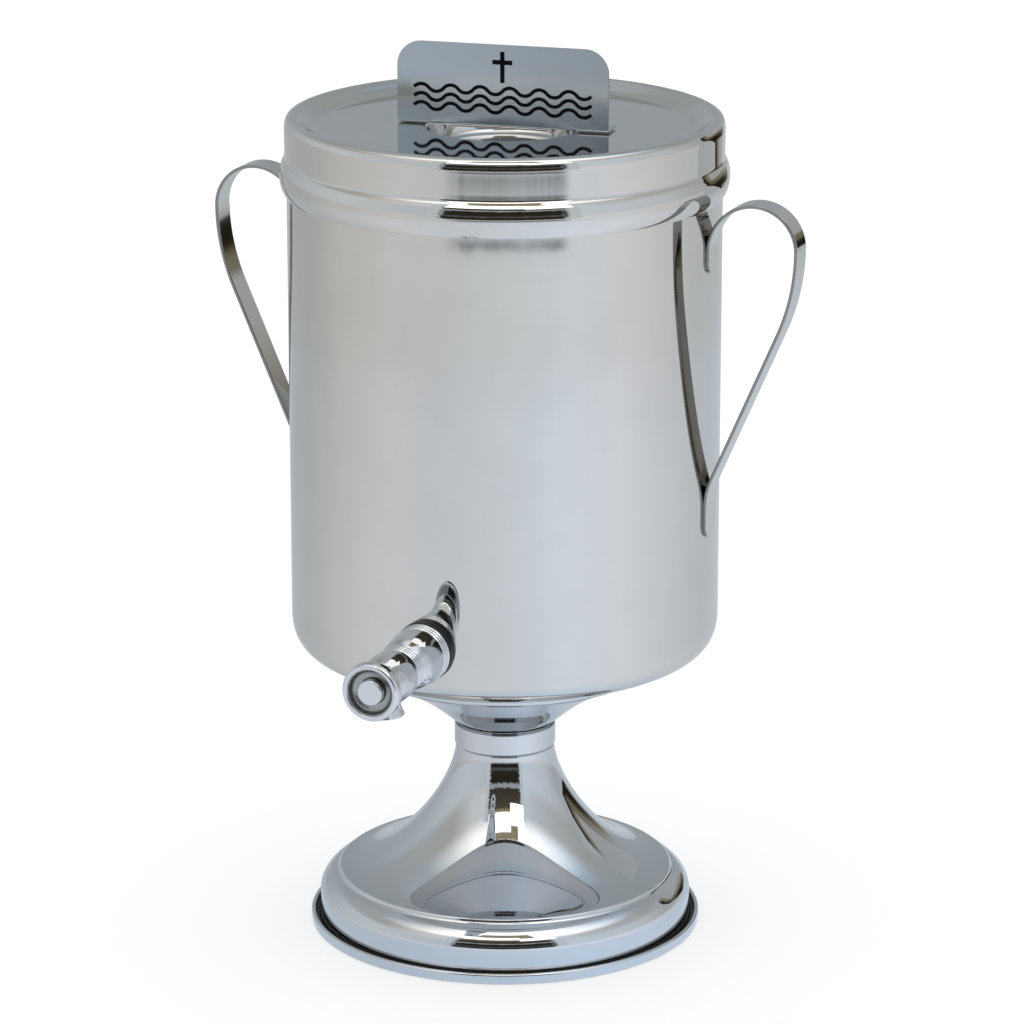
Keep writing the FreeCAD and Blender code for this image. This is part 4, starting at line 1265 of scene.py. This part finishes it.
nb.put(vec.inputs[1], nb.math("MULTIPLY", rad, 9.0))
crumple = nb.noise(vec.outputs[0], 6.0, 4.0, 0.7)
wavy = nb.math("MULTIPLY_ADD", crumple, 0.05, nb.math("ADD", rad, -0.025))
hem = nb.math("MULTIPLY", nb.step(wavy, 1.815, 1.828), nb.step(wavy, 1.87, 1.857, 0.0, 1.0))
hem = nb.math("MULTIPLY", nb.math("MULTIPLY", hem, front), nb.step(crumple, 0.34, 0.56, 0.35, 1.0))
cloth = nb.mix(hem, cloth, (0.21, 0.23, 0.25))
boards = nb.math("MULTIPLY", nb.step(rad, 1.90, 1.93), front)
boards = nb.math("MULTIPLY", boards, nb.step(rad, 2.85, 2.45, 0.1, 1.0))
vec = nb.add("ShaderNodeCombineXYZ")
nb.put(vec.inputs[0], nb.math("MULTIPLY", az, 2.2))
nb.put(vec.inputs[1], nb.math("MULTIPLY", rad, 0.25))
plank = nb.noise(vec.outputs[0], 9.0, 4.0, 0.7)
planks = nb.mix(nb.step(plank, 0.36, 0.64), (0.175, 0.19, 0.195), (0.30, 0.325, 0.345))
cloth = nb.mix(boards, cloth, planks)
nb.put(em.inputs["Color"], cloth)
verts, faces = [], []
steps = [0.1062, 0.2, 0.5, 1.0, 2.0, 4.0, 6.95]
for r in steps:
    for i in range(96):
        a = 2 * math.pi * i / 96
        verts.append((r * math.cos(a), r * math.sin(a), 0.0003))
for k in range(len(steps) - 1):
    for i in range(96):
        j = (i + 1) % 96
        faces.append((96 * k + i, 96 * k + j, 96 * k + 96 + j, 96 * k + 96 + i))
card("cloth", verts, faces, cloth_mat)

# opening on the camera's side, with a dim room behind it: dark furniture, two
# pale shelves and ragged hangings at its sides
room_mat, nb, em = glow("dim_room", strength=2.0)
co, az, t, rad, z = around(nb)
vec = nb.add("ShaderNodeCombineXYZ")
nb.put(vec.inputs[0], nb.math("MULTIPLY", az, 2.6))
nb.put(vec.inputs[1], nb.math("MULTIPLY", z, 1.1))
clutter = nb.noise(vec.outputs[0], 5.0, 4.0, 0.65)
height = nb.math("MULTIPLY_ADD", clutter, 0.14, nb.math("MULTIPLY_ADD", z, 1 / 3.2, -0.07))
room = ramp(
    nb,
    height,
    [
        (0.0, (0.10, 0.09, 0.07)),
        (0.03, (0.012, 0.011, 0.009)),
        (0.105, (0.014, 0.012, 0.010)),
        (0.125, (0.06, 0.065, 0.07)),
        (0.165, (0.05, 0.055, 0.06)),
        (0.185, (0.018, 0.016, 0.012)),
        (0.40, (0.014, 0.012, 0.009)),
        (0.42, (0.20, 0.22, 0.235)),
        (0.475, (0.24, 0.255, 0.27)),
        (0.495, (0.03, 0.026, 0.018)),
        (0.80, (0.05, 0.043, 0.03)),
        (0.84, (0.20, 0.16, 0.09)),
        (1.0, (0.22, 0.175, 0.10)),
    ],
)
ragged = nb.noise(vec.outputs[0], 9.0, 3.0, 0.6)
swing = nb.math("MULTIPLY_ADD", ragged, math.radians(16.0), math.radians(-8.0))
side = nb.math("ADD", az, swing)
inside = nb.math(
    "MULTIPLY",
    nb.step(side, math.radians(-32.5), math.radians(-31)),
    nb.step(side, math.radians(31.5), math.radians(30), 0.0, 1.0),
)
nb.put(em.inputs["Color"], nb.mix(inside, (0.37, 0.40, 0.425), room))
upright("room", -39, 38, 0.0, 3.2, 3.1, room_mat, 48)

# brown ceiling over the opening
ceil_mat, nb, em = glow("brown_ceiling", strength=1.0)
co, az, t, rad, z = around(nb)
vec = nb.add("ShaderNodeCombineXYZ")
nb.put(vec.inputs[0], nb.math("MULTIPLY", az, 3.0))
nb.put(vec.inputs[1], rad)
grain = nb.noise(vec.outputs[0], 6.0, 4.0, 0.7)
nb.put(em.inputs["Color"], nb.mix(nb.step(grain, 0.35, 0.65), (0.30, 0.25, 0.15), (0.50, 0.43, 0.29)))
verts, faces = [], []
for i in range(17):
    a = -24 + 48 * i / 16
    verts += [bearing(a, 3.1, 3.2), bearing(a, 1.75, 4.2)]
for i in range(16):
    faces.append((2 * i, 2 * i + 2, 2 * i + 3, 2 * i + 1))
card("ceiling", verts, faces, ceil_mat)

# lamp behind cloth, up to the right of the camera
lamp_mat, nb, em = glow("lamp_cloth", (1.0, 1.0, 1.0), 2.4)
upright("lamp", 10, 35, 0.93, 1.42, 1.2, lamp_mat)
upright("lamp_low", -30, 11, 0.80, 1.15, 0.85, lamp_mat)

# gap in the tent, back on the right: its edge leans, dark low down and brown above
gap_mat, nb, em = glow("tent_gap", strength=1.0)
co, az, t, rad, z = around(nb)
lean = ramp(
    nb,
    nb.math("MULTIPLY", z, 1 / 1.2),
    [
        (0.0, (141.0 / 180.0,) * 3),
        (0.12, (133.0 / 180.0,) * 3),
        (0.34, (121.0 / 180.0,) * 3),
        (0.60, (119.5 / 180.0,) * 3),
        (0.85, (124.0 / 180.0,) * 3),
        (1.0, (131.0 / 180.0,) * 3),
    ],
)
past = nb.math("SUBTRACT", nb.math("MULTIPLY", az, 1 / math.pi), lean)
low_part = ramp(
    nb,
    nb.math("MULTIPLY", past, 180.0 / 30.0),
    [
        (0.0, (0.02, 0.018, 0.012)),
        (0.08, (0.05, 0.042, 0.028)),
        (0.16, (0.28, 0.25, 0.19)),
        (0.30, (0.45, 0.47, 0.46)),
        (1.0, (0.47, 0.50, 0.52)),
    ],
)
mid_part = ramp(
    nb,
    nb.math("MULTIPLY", past, 180.0 / 30.0),
    [
        (0.0, (0.018, 0.016, 0.010)),
        (0.30, (0.022, 0.018, 0.011)),
        (0.50, (0.06, 0.05, 0.03)),
        (0.80, (0.30, 0.28, 0.22)),
        (1.0, (0.45, 0.47, 0.46)),
    ],
)
high_part = ramp(
    nb,
    nb.math("MULTIPLY", past, 180.0 / 30.0),
    [
        (0.0, (0.02, 0.018, 0.012)),
        (0.08, (0.02, 0.018, 0.012)),
        (0.13, (0.16, 0.145, 0.095)),
        (0.45, (0.22, 0.20, 0.14)),
        (0.80, (0.34, 0.33, 0.28)),
        (1.0, (0.45, 0.47, 0.46)),
    ],
)
behind = nb.mix(nb.step(z, 0.05, 0.11), low_part, mid_part)
behind = nb.mix(nb.step(z, 0.26, 0.40), behind, high_part)
top_part = ramp(
    nb,
    nb.math("MULTIPLY", past, 180.0 / 30.0),
    [
        (0.0, (0.02, 0.018, 0.012)),
        (0.08, (0.02, 0.018, 0.012)),
        (0.12, (0.16, 0.145, 0.095)),
        (0.22, (0.30, 0.28, 0.22)),
        (0.30, (0.50, 0.51, 0.50)),
        (1.0, (0.50, 0.52, 0.53)),
    ],
)
behind = nb.mix(nb.step(z, 0.47, 0.58), behind, top_part)
behind = nb.mix(nb.step(z, 0.95, 1.25), behind, (0.50, 0.52, 0.53))
nb.put(em.inputs["Color"], nb.mix(nb.step(past, -0.001, 0.0005), (0.55, 0.58, 0.60), behind))
upright("gap", 117.5, 154, 0.0005, 1.3, 1.9, gap_mat, 48)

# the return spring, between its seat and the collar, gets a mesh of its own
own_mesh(nodes["return_spring"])
